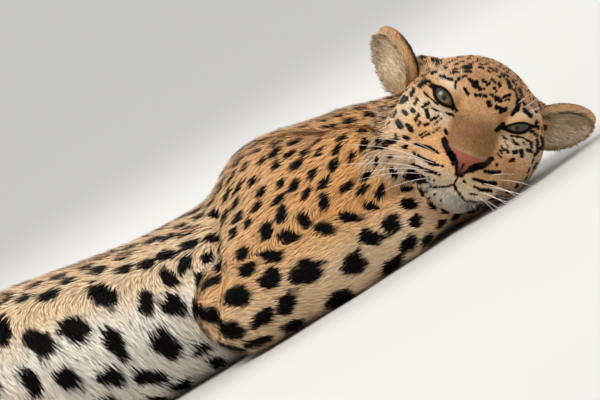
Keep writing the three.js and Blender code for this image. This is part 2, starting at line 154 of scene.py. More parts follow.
# %% The head
SIDES = {"right": 1, "left": -1}
EYES_AT = np.array([337.0, -88.0, 90.0])
EYE_OUT = 37.0
EYE_RADIUS = 15.0
roll, pitch = math.radians(54), math.radians(8)
to_front = np.array([0.0, -1.0, 0.0])
face_up = np.array([math.sin(roll), 0.0, math.cos(roll)])
TOP = to_front * math.sin(pitch) + face_up * math.cos(pitch)
FORWARD = to_front * math.cos(pitch) - face_up * math.sin(pitch)
RIGHT = np.cross(FORWARD, TOP)
HEAD_AXES = np.array([FORWARD, RIGHT, TOP])


def on_head(forward, right, up):
    return EYES_AT + np.array([forward, right, up], float) @ HEAD_AXES


def in_head(p):
    return (p - EYES_AT) @ HEAD_AXES.T


def mirrored(q):
    """Folds the left half of the head over on to the right one."""
    return q * [1, 0, 1] + np.abs(q * [0, 1, 0])


skull = blend(
    20,
    ellipsoid([-60, 0, -8], [70, 65, 50]),
    ellipsoid([-24, 0, 3], [42, 48, 34]),
    ellipsoid([-32, 44, -24], [46, 34, 34]),
    ellipsoid([-44, 38, -52], [46, 36, 34]),
    ellipsoid([0, 37, -50], [31, 29, 30]),
    ellipsoid([-80, 0, -44], [55, 56, 44]),
    ellipsoid([-88, 62, 4], [22, 20, 16]),
)
brow = cone([2, 20, 17], [-10, 52, 10], 12, 10)
bridge = cone([-8, 0, -4], [58, 0, -39], 27, 20, (0.4, 0, 1), 0.85)
muzzle = blend(
    10,
    ellipsoid([28, 0, -52], [42, 36, 29]),
    ellipsoid([42, 22, -58], [27, 23, 21]),
    ellipsoid([60, 0, -47], [15, 21, 15]),
)
jaw = blend(14, ellipsoid([36, 0, -84], [22, 21, 15]), cone([28, 12, -82], [-48, 42, -58], 17, 24))
face = blend(14, skull, brow, bridge, ellipsoid([12, 36, -30], [30, 26, 20]))
socket = ellipsoid([17, EYE_OUT + 1, 0], [12, 17, 11])
head_shape = blend(10, carve(face, socket, 8), muzzle, jaw)


def head_flesh(p):
    return head_shape(mirrored(in_head(p)))


print("the eyes stand", 2 * EYE_OUT, "mm apart, and the nose looks along", FORWARD.round(2))

# %% [markdown]
# The trunk is one swept section: an ellipse that changes size along the spine and rolls over towards
# the hips. A smooth curve runs through a short table of stations.

# %% The trunk and neck
TRUNK = np.array(
    [  # along, sideways, height of the middle, half depth, half width, roll in degrees
        [215, 6, 96, 20, 20, 0],
        [180, 4, 88, 62, 62, 0],
        [130, 2, 82, 80, 88, 2],
        [60, 0, 75, 80, 102, 5],
        [-30, 2, 76, 83, 106, 10],
        [-110, 6, 83, 90, 103, 18],
        [-190, 10, 90, 97, 94, 28],
        [-270, 14, 88, 92, 86, 40],
        [-340, 20, 90, 94, 88, 50],
        [-410, 26, 90, 92, 88, 56],
        [-465, 34, 84, 68, 66, 58],
        [-495, 40, 80, 20, 20, 58],
    ],
    float,
)


def station(x):
    """The row of the trunk's table at x, along a smooth curve."""
    last = len(TRUNK) - 1
    i = np.clip(np.searchsorted(-TRUNK[:, 0], -x, side="right") - 1, 0, last - 1)
    before, low, high, after = (TRUNK[np.clip(i + k, 0, last)] for k in (-1, 0, 1, 2))
    t = np.clip((x - low[:, 0]) / (high[:, 0] - low[:, 0]), 0, 1)[:, None]
    return (
        (2 * t**3 - 3 * t**2 + 1) * low
        + (t**3 - 2 * t**2 + t) * (high - before) / 2
        + (3 * t**2 - 2 * t**3) * high
        + (t**3 - t**2) * (after - low) / 2
    )


def round_trunk(p):
    """Sideways and backward offsets from the trunk's middle, as shares of its half sizes."""
    _, y, z, depth, width, turn = station(p[:, 0]).T
    c, s = np.cos(np.radians(turn)), np.sin(np.radians(turn))
    dy, dz = p[:, 1] - y, p[:, 2] - z
    return (dy * c - dz * s) / width, (dy * s + dz * c) / depth, np.minimum(depth, width)


def from_spine(p):
    """How many degrees round the trunk a place is from the spine, on either side."""
    side, back, _ = round_trunk(p)
    return np.degrees(np.arctan2(np.abs(side), back))


def trunk_shape(p):
    side, back, size = round_trunk(p)
    section = (np.hypot(side, back) - 1) * size
    return np.maximum(section, np.maximum(p[:, 0] - TRUNK[0, 0], TRUNK[-1, 0] - p[:, 0]))


nape = on_head(-105, 0, -15)
neck_shape = blend(
    30,
    cone([132, 6, 92], [205, 34, 90], 74, 65),
    cone([205, 34, 90], [262, 50, 82], 65, 56),
    cone([262, 50, 82], nape, 56, 50),
    cone([150, 0, 74], on_head(-66, 6, -52), 58, 44),
)
print("trunk:", len(TRUNK), "stations")

# %% [markdown]
# Legs are chains of bones with fixed lengths, so each joint lies on the line to where the leg is
# heading, one bone's length away. A paw is a short cone for the wrist and four more for the toes.

# %% The legs and paws
UPPER_ARM, FOREARM, FOREPAW = 172, 208, 98
THIGH, SHANK, HIND_FOOT = 208, 200, 165


def reach(a, b, bone):
    """The place one bone's length from a towards b."""
    a = np.array(a, float)
    return a + unit(np.array(b, float) - a) * bone


def paw(joint, toward, long, wide):
    ahead = unit(np.array(toward, float) - joint)
    aside = unit(np.cross([0, 0, 1], ahead))
    knuckles = joint + ahead * long * 0.55
    knuckles[2] = 21
    shapes = [cone(joint, knuckles, 27, 27, (0, 0, 1), 0.85)]
    for place in (-1.5, -0.5, 0.5, 1.5):
        out = aside * place * wide * 0.25
        start = knuckles + out * 0.9
        short = 0.84 if abs(place) > 1 else 1
        end = joint + ahead * (long * short - 11) + out * 1.1
        end[2] = 11
        shapes.append(cone(start, end, 15, 12.5))
    return blend(7, *shapes)


def foreleg(side, blade, joint, elbow, wrist, toes):
    elbow = reach(joint, elbow, UPPER_ARM)
    wrist = reach(elbow, wrist, FOREARM)
    joint, blade = np.array(joint, float), np.array(blade, float)
    out = (0, side, 0.35)
    upper = blend(
        26,
        cone(blade, joint, 38, 48, out, 0.72),
        cone(joint, elbow, 52, 44, out, 0.86),
        cone(blade * 0.75 + joint * 0.25, joint * 0.2 + elbow * 0.8, 52, 46, out, 0.74),
    )
    thickest = elbow * 0.54 + wrist * 0.46 + [0, 0, 4]
    slim = elbow * 0.2 + wrist * 0.8
    lower = blend(
        16, cone(elbow, thickest, 50, 51), cone(thickest, slim, 51, 38), cone(slim, wrist, 38, 27)
    )
    foot = paw(wrist, toes, FOREPAW, 72)
    return {"upper": upper, "lower": lower, "foot": foot, "line": [joint, elbow, wrist, toes]}


def hindleg(hip, knee, hock, toes):
    hip = np.array(hip, float)
    knee = reach(hip, knee, THIGH)
    hock = reach(knee, hock, SHANK)
    bend = hock + unit(np.array(toes, float) - hock) * HIND_FOOT * 0.45
    across = unit(np.cross(knee - hip, hock - knee))
    calf_end = knee * 0.72 + hock * 0.28
    upper = blend(
        30,
        cone(hip, knee, 78, 46, across, 0.62),
        cone(hip + [-36, -6, -18], calf_end, 58, 38, across, 0.6),
    )
    calf = knee * 0.6 + hock * 0.4
    lower = blend(16, cone(knee, calf, 45, 36), cone(calf, hock, 36, 24))
    sole = paw(hock * 0.25 + bend * 0.75, toes, HIND_FOOT * 0.72, 66)
    foot = blend(10, cone(hock, bend, 24, 22), sole)
    return {"upper": upper, "lower": lower, "foot": foot, "line": [hip, knee, hock, toes]}


LEGS = {
    "right_fore": foreleg(
        -1, [112, -48, 131], [194, -76, 98], [36, -118, 50], [242, -84, 34], [312, -18, 18]
    ),
    "left_fore": foreleg(
        1, [112, 48, 131], [194, 78, 98], [36, 120, 50], [238, 128, 33], [330, 152, 18]
    ),
    "right_hind": hindleg([-402, -4, 118], [-288, -130, 84], [-424, -240, 40], [-296, -310, 18]),
    "left_hind": hindleg([-398, 46, 62], [-236, -50, 48], [-318, -184, 30], [-222, -262, 18]),
}
print("legs:", ", ".join(LEGS))

# %% [markdown]
# The tail lies in one easy curve. Its curve is turned into a dense row of points once, and the
# distance to it is the distance to the nearest of them, less the radius there.

# %% The tail
TAIL_PATH = np.array(
    [
        [-455, 48, 98],
        [-540, 78, 52],
        [-650, 84, 25],
        [-760, 48, 21],
        [-846, -34, 19],
        [-888, -146, 18],
        [-868, -262, 15],
    ],
    float,
)
TAIL_RADIUS = [34, 27, 24, 22, 21, 20, 17]
TAIL_POINTS = 161


def smooth_path(points, steps):
    """A curve through the points, as places evenly spaced along its length."""
    ends = np.vstack([2 * points[0] - points[1], points, 2 * points[-1] - points[-2]])
    t = np.linspace(0, 1, steps, endpoint=False)[:, None]
    curve = []
    for a, b, c, d in zip(ends, ends[1:], ends[2:], ends[3:]):
        bend = (a - 2.5 * b + 2 * c - d / 2) * t**2
        curve.append(b + (c - a) / 2 * t + bend + (1.5 * (b - c) + (d - a) / 2) * t**3)
    curve = np.vstack(curve + [points[-1:]])
    run = np.concatenate([[0], np.cumsum(np.linalg.norm(np.diff(curve, axis=0), axis=1))])
    even = np.linspace(0, run[-1], TAIL_POINTS)
    return np.array([np.interp(even, run, curve[:, i]) for i in range(3)]).T


tail_line = smooth_path(TAIL_PATH, 60)
tail_along = unit(np.gradient(tail_line, axis=0))
tail_radius = np.interp(np.linspace(0, 6, TAIL_POINTS), range(7), TAIL_RADIUS)
tail_radius[-6:] *= np.sqrt(np.linspace(1, 0.25, 6))


def nearest_on_tail(p):
    """Which of the points along the tail is the nearest to each place."""
    best = np.full(len(p), 1e9)
    which = np.zeros(len(p), int)
    for i in range(0, TAIL_POINTS, 2):
        d = ((p - tail_line[i]) ** 2).sum(1)
        closer = d < best
        best[closer] = d[closer]
        which[closer] = i
    return which


def tail_shape(p):
    out = np.full(len(p), 400.0)
    near = p[:, 0] < -380
    q = p[near]
    i = nearest_on_tail(q)
    d = q - tail_line[i]
    along = (d * tail_along[i]).sum(1, keepdims=True)
    beyond = np.where((i == TAIL_POINTS - 1) | (i == 0), along[:, 0], 0)
    across = np.linalg.norm(d - along * tail_along[i], axis=1)
    out[near] = np.hypot(across, beyond) - tail_radius[i]
    return out


print("tail:", round(np.linalg.norm(np.diff(tail_line, axis=0), axis=1).sum()), "mm long")

# %% [markdown]
# All shapes together make the animal out to the tips of its coat. Every part also has its own coat:
# how deep it is, how long its tufts are and how far apart its spots stand. A table keeps those sizes,
# and a point between two parts gets a mix of both rows, so nothing changes at a line.

# %% The whole animal and its parts
rump = ellipsoid([-430, 28, 92], [66, 80, 78])
PARTS = {
    # name: shape, coat depth, hair length, spot spacing
    "trunk": (blend(36, trunk_shape, rump), 6.0, 15, 36),
    "neck": (neck_shape, 5.5, 12, 20),
    "head": (head_flesh, 3.0, 6, 11),
    "tail": (tail_shape, 4.5, 13, 34),
}
LEG_SIZES = {
    "fore_upper": (5.0, 12, 21),
    "fore_lower": (4.0, 8, 40),
    "fore_foot": (2.2, 6, 15),
    "hind_upper": (5.5, 14, 34),
    "hind_lower": (4.0, 10, 26),
    "hind_foot": (2.2, 6, 15),
}
for name, leg in LEGS.items():
    end = name.split("_")[1]
    for part in ("upper", "lower", "foot"):
        PARTS[f"{name}_{part}"] = (leg[part], *LEG_SIZES[f"{end}_{part}"])
MIXING = 9  # mm over which one part gives way to the next
names = list(PARTS)
COAT_DEPTH, HAIR_LENGTH, SPOT_SPACING = (
    np.array([PARTS[n][k] for n in names], float) for k in (1, 2, 3)
)


def part_distances(p):
    return np.array([PARTS[n][0](p) for n in names])


def whole(d):
    """The distance to the whole animal from the distances to its parts."""
    get = {n: d[i] for i, n in enumerate(names)}
    body = merge(get["trunk"], get["neck"], 46)
    for side in SIDES:
        body = merge(body, get[f"{side}_fore_upper"], 34)
    for side in SIDES:
        body = merge(body, get[f"{side}_hind_upper"], 30)
    body = merge(body, get["head"], 26)
    for leg in LEGS:
        lower = merge(get[f"{leg}_lower"], get[f"{leg}_foot"], 8)
        body = merge(body, lower, 9)
    return merge(body, get["tail"], 16)


def part_weights(d):
    """How far each place belongs to each part. The weights of a place add up to one."""
    w = np.exp(-(d - d.min(0)) / MIXING)
    return w / w.sum(0)


def weight_of(w, *wanted):
    """How far places belong to some of the parts, by name."""
    return sum(w[names.index(name)] for name in wanted)


print("parts:", len(names))

# %% [markdown]
# Hair lies from the nose backwards over the head, from the neck along the trunk and down each leg. On
# the flank it turns down towards the belly. A comb drawn over the animal would go the same way.

# %% The lie of the coat
def lie_of_coat(p, w):
    """The way the hair points at each place, before it is laid flat on the skin."""
    q = in_head(p)
    from_nose = unit(q - [66, 0, -36]) @ HEAD_AXES
    ways = []
    for n in names:
        if n == "head":
            ways.append(from_nose)
        elif n == "tail":
            ways.append(tail_along[nearest_on_tail(p)])
        elif n == "neck":
            ways.append(unit(np.array([132, 4, 84]) - nape + 0 * p))
        elif n == "trunk":
            flank = ramp(from_spine(p), 40, 85)[:, None]
            backwards, down = np.array([-1, 0.05, -0.12]), np.array([0.25, 0, -0.95])
            ways.append(unit(backwards * (1 - flank) + down * flank))
        else:
            leg, part = n.rsplit("_", 1)
            first = ("upper", "lower", "foot").index(part)
            start, end = LEGS[leg]["line"][first : first + 2]
            ways.append(unit(np.array(end, float) - start + 0 * p))
    return unit((np.array(ways) * w[:, :, None]).sum(0))


on_back = np.array([[-100.0, 6.0, 172.0]])
print("hair on the back points along", lie_of_coat(on_back, part_weights(part_distances(on_back))).round(2))

# %% [markdown]
# The coat is shallow on the muzzle and deep on the cheeks and the neck. The skin is the animal less
# that depth, so the same functions give both outlines.

# %% The depth of the coat
def coat_depth(p, w):
    depth = COAT_DEPTH @ w
    head = weight_of(w, "head")
    q = mirrored(in_head(p))
    own = 4.6 - 3.6 * ramp(q[:, 0], -62, 26)
    own = own - 0.5 * ramp(np.linalg.norm(q - [70, 0, -46], axis=1), 30, 18)
    return depth * (1 - head) + own * head


def under_coat(p):
    d = part_distances(p)
    return whole(d) + coat_depth(p, part_weights(d))


print("depths of coat over the parts of the body:", COAT_DEPTH.tolist())

# %% [markdown]
# Finer things are cut into the face where they belong: the nostrils, the edge of the bare nose, the
# split below it and the line of the lips. Each is a thin cone or an ellipsoid, and the fillets keep
# them soft, as skin is.

# %% Hollows of the face
NOSTRIL_AXES = [unit([0.7, 0.7, 0.1]), unit([-0.7, 0.7, 0]), [0, 0, 1]]
NOSTRIL = ellipsoid([73, 12, -42], [5.5, 4.4, 3.2], NOSTRIL_AXES)
PAD_EDGE = [[60, 27, -33], [66, 21, -39], [70, 12.5, -43], [73, 5.5, -49], [74, 0, -58]]
pad_edge = [cone(a, b, 1.3, 1.3) for a, b in zip(PAD_EDGE, PAD_EDGE[1:])]
nostril_slit = cone([70, 15, -40], [60, 23, -38], 1.9, 0.8)
split = cone([77, 0, -50], [70, 0, -67], 1.5, 1.6)
LIPS = [[70, 0, -67], [66, 6, -73], [54, 16, -80], [36, 27, -81], [14, 36, -86]]
lips = [cone(a, b, 1.7, 1.7) for a, b in zip(LIPS, LIPS[1:])]


def face_details(q, d):
    """Small hollows of the face, cut from a distance d that is known at points q of the head."""
    d = -merge(-d, NOSTRIL(q), 2.5)
    d = -merge(-d, nostril_slit(q), 1.5)
    d = -merge(-d, split(q), 2.5)
    d = -merge(-d, np.min([line(q) for line in pad_edge], axis=0), 2.5)
    mouth = np.min([line(q) for line in lips], axis=0)
    return -merge(-d, mouth, 3.5)


print("lines cut into half a face:", len(pad_edge) + len(lips) + 2)

# %% [markdown]
# Behind the shoulder and down the neck the loose skin of a lying cat falls in folds. They run through
# places that are found on the right side of the body, straight in from where they are seen.

# %% Folds of loose skin
CREASES = [  # a radius, then the points (x, z) that a fold runs through, as seen from the right side
    (7, [(56, 138), (49, 124), (37, 106), (26, 86), (10, 68), (-6, 44)]),
    (4, [(214, 96), (184, 96), (152, 88), (120, 84)]),
    (4, [(236, 116), (200, 120), (166, 114)]),
]


def on_right_side(x, z):
    """The first place of the skin on a line across the body, from its right side."""
    line = [x, 0, z] + np.linspace(-220, 0, 441)[:, None] * [0, 1, 0]
    return line[np.argmax(under_coat(line) < 0)]


creases = []
for width, marks in CREASES:
    line = [on_right_side(x, z) for x, z in marks]
    creases += [cone(a, b, width, width) for a, b in zip(line, line[1:])]


def fold_depth(p, d):
    """Presses the folds of loose skin into a distance d."""
    near = (np.abs(p[:, 0] - 110) < 160) & (p[:, 1] < -40)
    gap = np.min([line(p[near]) for line in creases], axis=0)
    d[near] = -merge(-d[near], gap + 1.5, 10)
    return d


print("folds:", len(CREASES))

# %% [markdown]
# The eyeballs bulge a little under the skin, and the lids are a thin sheet over them. The whole body is
# kept just clear of the floor.

# %% The skin
LID = 1.3
FLOOR_GAP = 0.8
eye_centres = {side: on_head(0, sign * EYE_OUT, 0) for side, sign in SIDES.items()}


def skin_distance(p):
    out = fold_depth(p, under_coat(p))
    q = in_head(p)
    near = (np.abs(q[:, 1]) < 60) & (q[:, 0] > -20) & (np.linalg.norm(q, axis=1) < 140)
    if near.any():
        value = out[near]
        for centre in eye_centres.values():
            ball = np.linalg.norm(p[near] - centre, axis=1) - EYE_RADIUS - LID
            value = merge(value, ball, 5)
        out[near] = face_details(mirrored(q[near]), value)
    return np.maximum(out, FLOOR_GAP - p[:, 2])


print("eyes at:", {side: centre.round(1).tolist() for side, centre in eye_centres.items()})

# %% [markdown]
# A vertex is put on a surface by steps along the way in which the distance grows fastest. Four readings
# close by give that way. One or two steps are enough.

# %% Steps on to a surface
def gradient(shape, p, step=0.4):
    corners = np.array([[1, 1, 1], [1, -1, -1], [-1, 1, -1], [-1, -1, 1]], float)
    total = np.zeros_like(p)
    for corner in corners:
        total += shape(p + corner * step)[:, None] * corner
    return total / (4 * step)


def settle(shape, p, rounds=2, most=3.0):
    for _ in range(rounds):
        g = gradient(shape, p)
        size = np.maximum((g * g).sum(1), 0.1)
        move = np.clip(shape(p) / size, -most, most)
        p = p - g * move[:, None]
    return p


print("moved on to the ball:", settle(test_ball, np.array([[12.0, 3.0, 1.0]])).round(2))


# %% [markdown]
# The whole surface, where the distance is zero, is first found on a grid. Each cell that it crosses
# gets one vertex and each crossed edge gets one face of four corners. That gives an even, closed mesh.

# %% A net over the grid
def grid_values(shape, low, count, cell):
    """Distances on a grid, worked out in full only near the surface."""
    block = 3
    places = [low[i] + cell * np.arange(0, count[i], block) for i in range(3)]
    coarse = np.array(np.meshgrid(*places, indexing="ij")).reshape(3, -1).T
    sizes = [len(x) for x in places]
    rough = shape(coarse).reshape(sizes)
    values = np.repeat(np.repeat(np.repeat(rough, block, 0), block, 1), block, 2)
    values = values[: count[0], : count[1], : count[2]].copy()
    near = np.abs(values) < cell * block * 1.9
    at = np.argwhere(near)
    values[near] = shape(low + at * cell)
    return values


def surface_net(shape, low, high, cell):
    low = np.array(low, float)
    count = np.ceil((np.array(high) - low) / cell).astype(int) + 2
    values = grid_values(shape, low, count, cell)
    inside = values < 0
    number = np.array([count[1] * count[2], count[2], 1])
    quads, cells, spots = [], [], []
    for axis in range(3):
        step = np.eye(3, dtype=int)[axis]
        u = np.eye(3, dtype=int)[(axis + 1) % 3]
        v = np.eye(3, dtype=int)[(axis + 2) % 3]
        here = tuple(slice(0, -1) if i == axis else slice(None) for i in range(3))
        there = tuple(slice(1, None) if i == axis else slice(None) for i in range(3))
        at = np.argwhere(inside[here] != inside[there])
        at = at[(at > 0).all(1)]
        a = values[tuple(at.T)]
        b = values[tuple((at + step).T)]
        spot = low + (at + (a / (a - b))[:, None] * step) * cell
        ring = np.stack([at - i * u - j * v for i, j in ((0, 0), (1, 0), (1, 1), (0, 1))], 1) @ number
        ring[a > 0] = ring[a > 0][:, ::-1]
        quads.append(ring)
        cells.append(ring.reshape(-1))
        spots.append(np.repeat(spot, 4, axis=0))
    cells, spots = np.concatenate(cells), np.concatenate(spots)
    used, index = np.unique(cells, return_inverse=True)
    share = np.bincount(index)
    points = np.array([np.bincount(index, spots[:, i]) / share for i in range(3)]).T
    quads = np.searchsorted(used, np.concatenate(quads))
    faces = np.concatenate([quads[:, [0, 1, 2]], quads[:, [0, 2, 3]]])
    return points, faces


ball_points, ball_faces = surface_net(test_ball, [-12, -12, -12], [12, 12, 12], 2.0)
print("a net over the ball:", len(ball_points), "vertices,", len(ball_faces), "triangles")


# %% [markdown]
# The eyelids need edges far shorter than those of the flank. Edges that are too long for their place
# are halved. A triangle with one, two or three halved edges becomes two, three or four, and its
# neighbours halve the same edges, so the skin stays closed.

# %% Halve long edges
def halve_long_edges(points, faces, longest):
    """Splits each edge that is longer than longest() says at its middle. Neighbours split alike."""
    ends = np.sort(faces[:, [[0, 1], [1, 2], [2, 0]]].reshape(-1, 2), axis=1)
    keys, where = np.unique(ends[:, 0] * np.int64(len(points)) + ends[:, 1], return_inverse=True)
    a, b = points[keys // len(points)], points[keys % len(points)]
    marked = np.linalg.norm(a - b, axis=1) > longest((a + b) / 2)
    fresh = np.full(len(keys), -1)
    fresh[marked] = len(points) + np.arange(marked.sum())
    middle = fresh[where].reshape(-1, 3)
    count = (middle >= 0).sum(1)
    out = [faces[count == 0]]
    for n in (1, 2):
        f, m = faces[count == n], middle[count == n]
        first = np.argmax(m >= 0, axis=1) if n == 1 else (np.argmin(m >= 0, axis=1) + 1) % 3
        turn = (first[:, None] + np.arange(3)) % 3
        f, m = np.take_along_axis(f, turn, 1), np.take_along_axis(m, turn, 1)
        if n == 1:
            out += [
                np.stack([f[:, 0], m[:, 0], f[:, 2]], 1),
                np.stack([m[:, 0], f[:, 1], f[:, 2]], 1),
            ]
        else:
            out += [
                np.stack([m[:, 0], f[:, 1], m[:, 1]], 1),
                np.stack([f[:, 0], m[:, 0], m[:, 1]], 1),
                np.stack([f[:, 0], m[:, 1], f[:, 2]], 1),
            ]
    f, m = faces[count == 3], middle[count == 3]
    out += [
        np.stack([f[:, 0], m[:, 0], m[:, 2]], 1),
        np.stack([m[:, 0], f[:, 1], m[:, 1]], 1),
        np.stack([m[:, 2], m[:, 1], f[:, 2]], 1),
        m,
    ]
    return np.vstack([points, (a + b)[marked] / 2]), np.concatenate(out), marked.sum()


halved = halve_long_edges(ball_points, ball_faces, lambda middle: np.full(len(middle), 2.0))
print("with edges over 2 mm halved:", len(halved[1]), "triangles")

# %% [markdown]
# The lids open in an almond whose outer corner is the higher one. The left eye is half closed. One
# function tells how far inside the almond a place is. It serves for the short edges there, for the lids
# themselves and for their dark rims.

# %% The opening of the lids
EYE_FRONT = unit([0.93, 0.33, 0.12])
to_outer_corner = np.array([-0.32, 0.88, 0.36])
EYE_LONG = unit(to_outer_corner - EYE_FRONT * (EYE_FRONT @ to_outer_corner))
EYE_HIGH = -np.cross(EYE_FRONT, EYE_LONG)
OPENING = {1: (14.4, 5.8, 6.2), -1: (14.4, 4.0, 4.8)}  # half its length, and above and below
FAR_OUTSIDE = -20.0


def inside_lids(q):
    """How far inside the opening of the lids a point of the head is, in mm along the eyeball."""
    side = np.where(q[:, 1] < 0, -1, 1)
    half, above, below = np.array([OPENING[k] for k in (-1, 1)], float)[(side + 1) // 2].T
    r = mirrored(q) - [0, EYE_OUT, 0]
    d = unit(r) * (EYE_RADIUS + LID)
    x, y, front = d @ EYE_LONG, d @ EYE_HIGH, d @ EYE_FRONT
    bend = 1 - np.abs(x / half) ** 2.1
    s = np.minimum(above * bend - y, y + below * bend) * 0.85
    return np.where((front > 2) & (np.linalg.norm(r, axis=1) < 24), s, FAR_OUTSIDE)


print("the lids open", [above + below for _, above, below in OPENING.values()], "mm, right and left")

# %% [markdown]
# The form itself says how long an edge may be: short at the lids, the nose and the mouth, middling on
# the head and the paws, and long elsewhere. The net starts on a grid of 5.4 mm, and in each round
# its long edges are halved and the new vertices move on to the surface.

# %% Mesh the skin
GRID_LOW, GRID_HIGH, GRID_CELL = [-920, -352, -8], [452, 196, 222], 5.4


def detail_at(p):
    """The longest edge that the form allows at each place."""
    q = mirrored(in_head(p))
    out = np.full(len(p), 9.0)
    behind = np.linalg.norm((q - [-20, 30, -20]) * [0.8, 1, 1], axis=1)
    out = np.minimum(out, 3.6 + ramp(behind, 88, 125) * 20)
    out = np.minimum(out, 2.3 + np.maximum(ramp(q[:, 0], 4, -26), ramp(behind, 100, 130)) * 20)
    nose = np.linalg.norm(q - [72, 8, -52], axis=1)
    out = np.minimum(out, 1.15 + ramp(nose, 19, 32) * 20)
    eye = np.linalg.norm(q - [5, EYE_OUT, 0], axis=1)
    out = np.minimum(out, 1.15 + ramp(eye, 17, 26) * 20)
    out = np.minimum(out, 0.55 + ramp(np.abs(inside_lids(in_head(p)) - 0.4), 1.0, 2) * 20)
    mouth = np.min([line(q) for line in lips], axis=0)
    out = np.minimum(out, 1.5 + ramp(mouth, 2.5, 7) * 20)
    for leg in LEGS.values():
        knuckles = np.array(leg["line"][2]) * 0.35 + np.array(leg["line"][3]) * 0.65
        out = np.minimum(out, 4.2 + ramp(np.linalg.norm(p - knuckles, axis=1), 55, 80) * 20)
    return out


clock = time.time()
points, faces = surface_net(skin_distance, GRID_LOW, GRID_HIGH, GRID_CELL)
print("net:", len(points), "vertices", round(time.time() - clock, 1), "s")
points = settle(skin_distance, points)
for turn in range(5):
    known = len(points)
    points, faces, added = halve_long_edges(points, faces, detail_at)
    points[known:] = settle(skin_distance, points[known:], 1)
    print("halved", added, "edges:", len(faces), "triangles", round(time.time() - clock, 1), "s")
    if not added:
        break
normals = unit(gradient(skin_distance, points))
print("skin:", len(points), "vertices,", len(faces), "triangles", round(time.time() - clock, 1), "s")

# %% [markdown]
# The lids wrap the eyeball like two sheets of skin a little over a millimetre thick. Inside the almond
# the skin is drawn back behind the surface of the eyeball, so that the edge of each lid stands on it.

# %% Lids
q = in_head(points)
opened = inside_lids(q)
eye_of = np.where((q[:, 1] > 0)[:, None], eye_centres["right"], eye_centres["left"])
from_eye = points - eye_of
radius = np.linalg.norm(from_eye, axis=1)
drawn = ramp(opened, -0.1, 0.7)
behind_ball = EYE_RADIUS - 1.4
wanted = radius + (behind_ball - radius) * drawn
points = eye_of + from_eye * (wanted / radius)[:, None]
print("vertices behind the eyeballs:", int((opened > 0.7).sum()))

# %% [markdown]
# An ear is a rounded cup. Rings are laid over the back of it, round its rim and down its inside, and
# each ring is an ellipse across the way that the cup opens. The foot of the ear sinks into the head,
# and hair covers the place where it comes out.

# %% The shape of an ear
EARS = {  # side, foot, axis, and the way the cup opens
    "right": (1, [-76, 84, -8], [-0.2, 0.66, 0.72], [0.6, 0.8, 0]),
    "left": (-1, [-76, 74, -2], [-0.2, 0.84, 0.54], [0.86, 0.5, 0.05]),
}
EAR_RADII = (36.8, 23.6, 14.5)
EAR_SIDES = 56


def ear_frame(base, axis, faces_to):
    """The middle of an ear and its three axes: along it, across it and out of the cup."""
    out = unit(axis)
    aside = unit(np.cross(out, faces_to))
    return np.array(base) + out * 13, out, aside, np.cross(aside, out)


def ear_mesh(side, base, axis, faces_to):
    """Vertices in the head's axes, rings by sides, and how far inside the cup each one is."""
    middle, out, aside, mouth = ear_frame(base, axis, faces_to)
    long, wide, deep = EAR_RADII
    outside = np.radians(np.linspace(10, 118, 15))
    rim = [(118, 1.2, 1.6), (112, 3.0, 1.6), (104, 4.4, 0.8)]
    inside = np.radians(np.linspace(86, 8, 13))
    rings = [(-deep * np.cos(t), np.sin(t), 0) for t in outside]
    for t, wall, lift in rim:
        rings.append((lift - deep * np.cos(np.radians(t)), np.sin(np.radians(t)), wall))
    rings += [(11 - deep * np.cos(t), np.sin(t), 4.6) for t in inside]
    angle = np.arange(EAR_SIDES) / EAR_SIDES * 2 * math.pi
    flat = []
    for height, share, wall in rings:
        ridge = 1 + 0.012 * np.sin(angle * 9 + height)
        long_way = np.outer((long - wall) * share * np.cos(angle) * ridge, out)
        egg = 1 - 0.12 * np.cos(angle)
        wide_way = np.outer((wall - wide) * share * np.sin(angle) * ridge * egg, aside)
        flat.append(middle + long_way + wide_way + height * mouth)
    q = np.vstack(flat) * [1, side, 1]
    ring = np.arange(len(rings) * EAR_SIDES).reshape(-1, EAR_SIDES)
    a, b = ring[:-1].ravel(), np.roll(ring[:-1], -1, 1).ravel()
    c, d = np.roll(ring[1:], -1, 1).ravel(), ring[1:].ravel()
    tri = np.concatenate([np.stack([a, b, c], 1), np.stack([a, c, d], 1)])
    fan = np.arange(1, EAR_SIDES - 1)
    last = ring[-1, 0]
    outer_cap = np.stack([0 * fan, fan + 1, fan], 1)
    inner_cap = last + np.stack([0 * fan, fan, fan + 1], 1)
    tri = np.vstack([tri, outer_cap, inner_cap])
    depth = [0] * (len(outside) + 1) + [0.4, 0.8] + [1] * len(inside)
    return q, tri[:, ::-1] if side > 0 else tri, np.repeat(np.array(depth, float), EAR_SIDES)


print("an ear:", len(ear_mesh(*EARS["right"])[1]), "triangles")


# %% [markdown]
# Both ears are put on the head and joined to the list of the skin's vertices. From here on each vertex
# also says whether it is on the back of an ear, inside its cup, or neither, because the coat differs.

# %% Grow the ears
def vertex_normals(points, faces):
    a, b, c = points[faces.T]
    across = np.cross(b - a, c - a)
    out = np.zeros_like(points)
    for corner in range(3):
        for axis in range(3):
            out[:, axis] += np.bincount(faces[:, corner], across[:, axis], len(points))
    return unit(out)


in_ear = np.zeros(len(points))
for side, base, axis, faces_to in EARS.values():
    q, tri, depth = ear_mesh(side, base, axis, faces_to)
    p = EYES_AT + q @ HEAD_AXES
    n = vertex_normals(p, tri)
    middle = p.mean(0)
    if ((p - middle) * n)[depth == 0].sum() < 0:
        tri, n = tri[:, ::-1], -n
    faces = np.vstack([faces, tri + len(points)])
    points, normals = np.vstack([points, p]), np.vstack([normals, n])
    in_ear = np.concatenate([in_ear, 1 + depth])
    opened = np.concatenate([opened, np.full(len(p), FAR_OUTSIDE)])
points[:, 2] = np.maximum(points[:, 2], FLOOR_GAP)
print("with ears:", len(points), "vertices,", len(faces), "triangles")

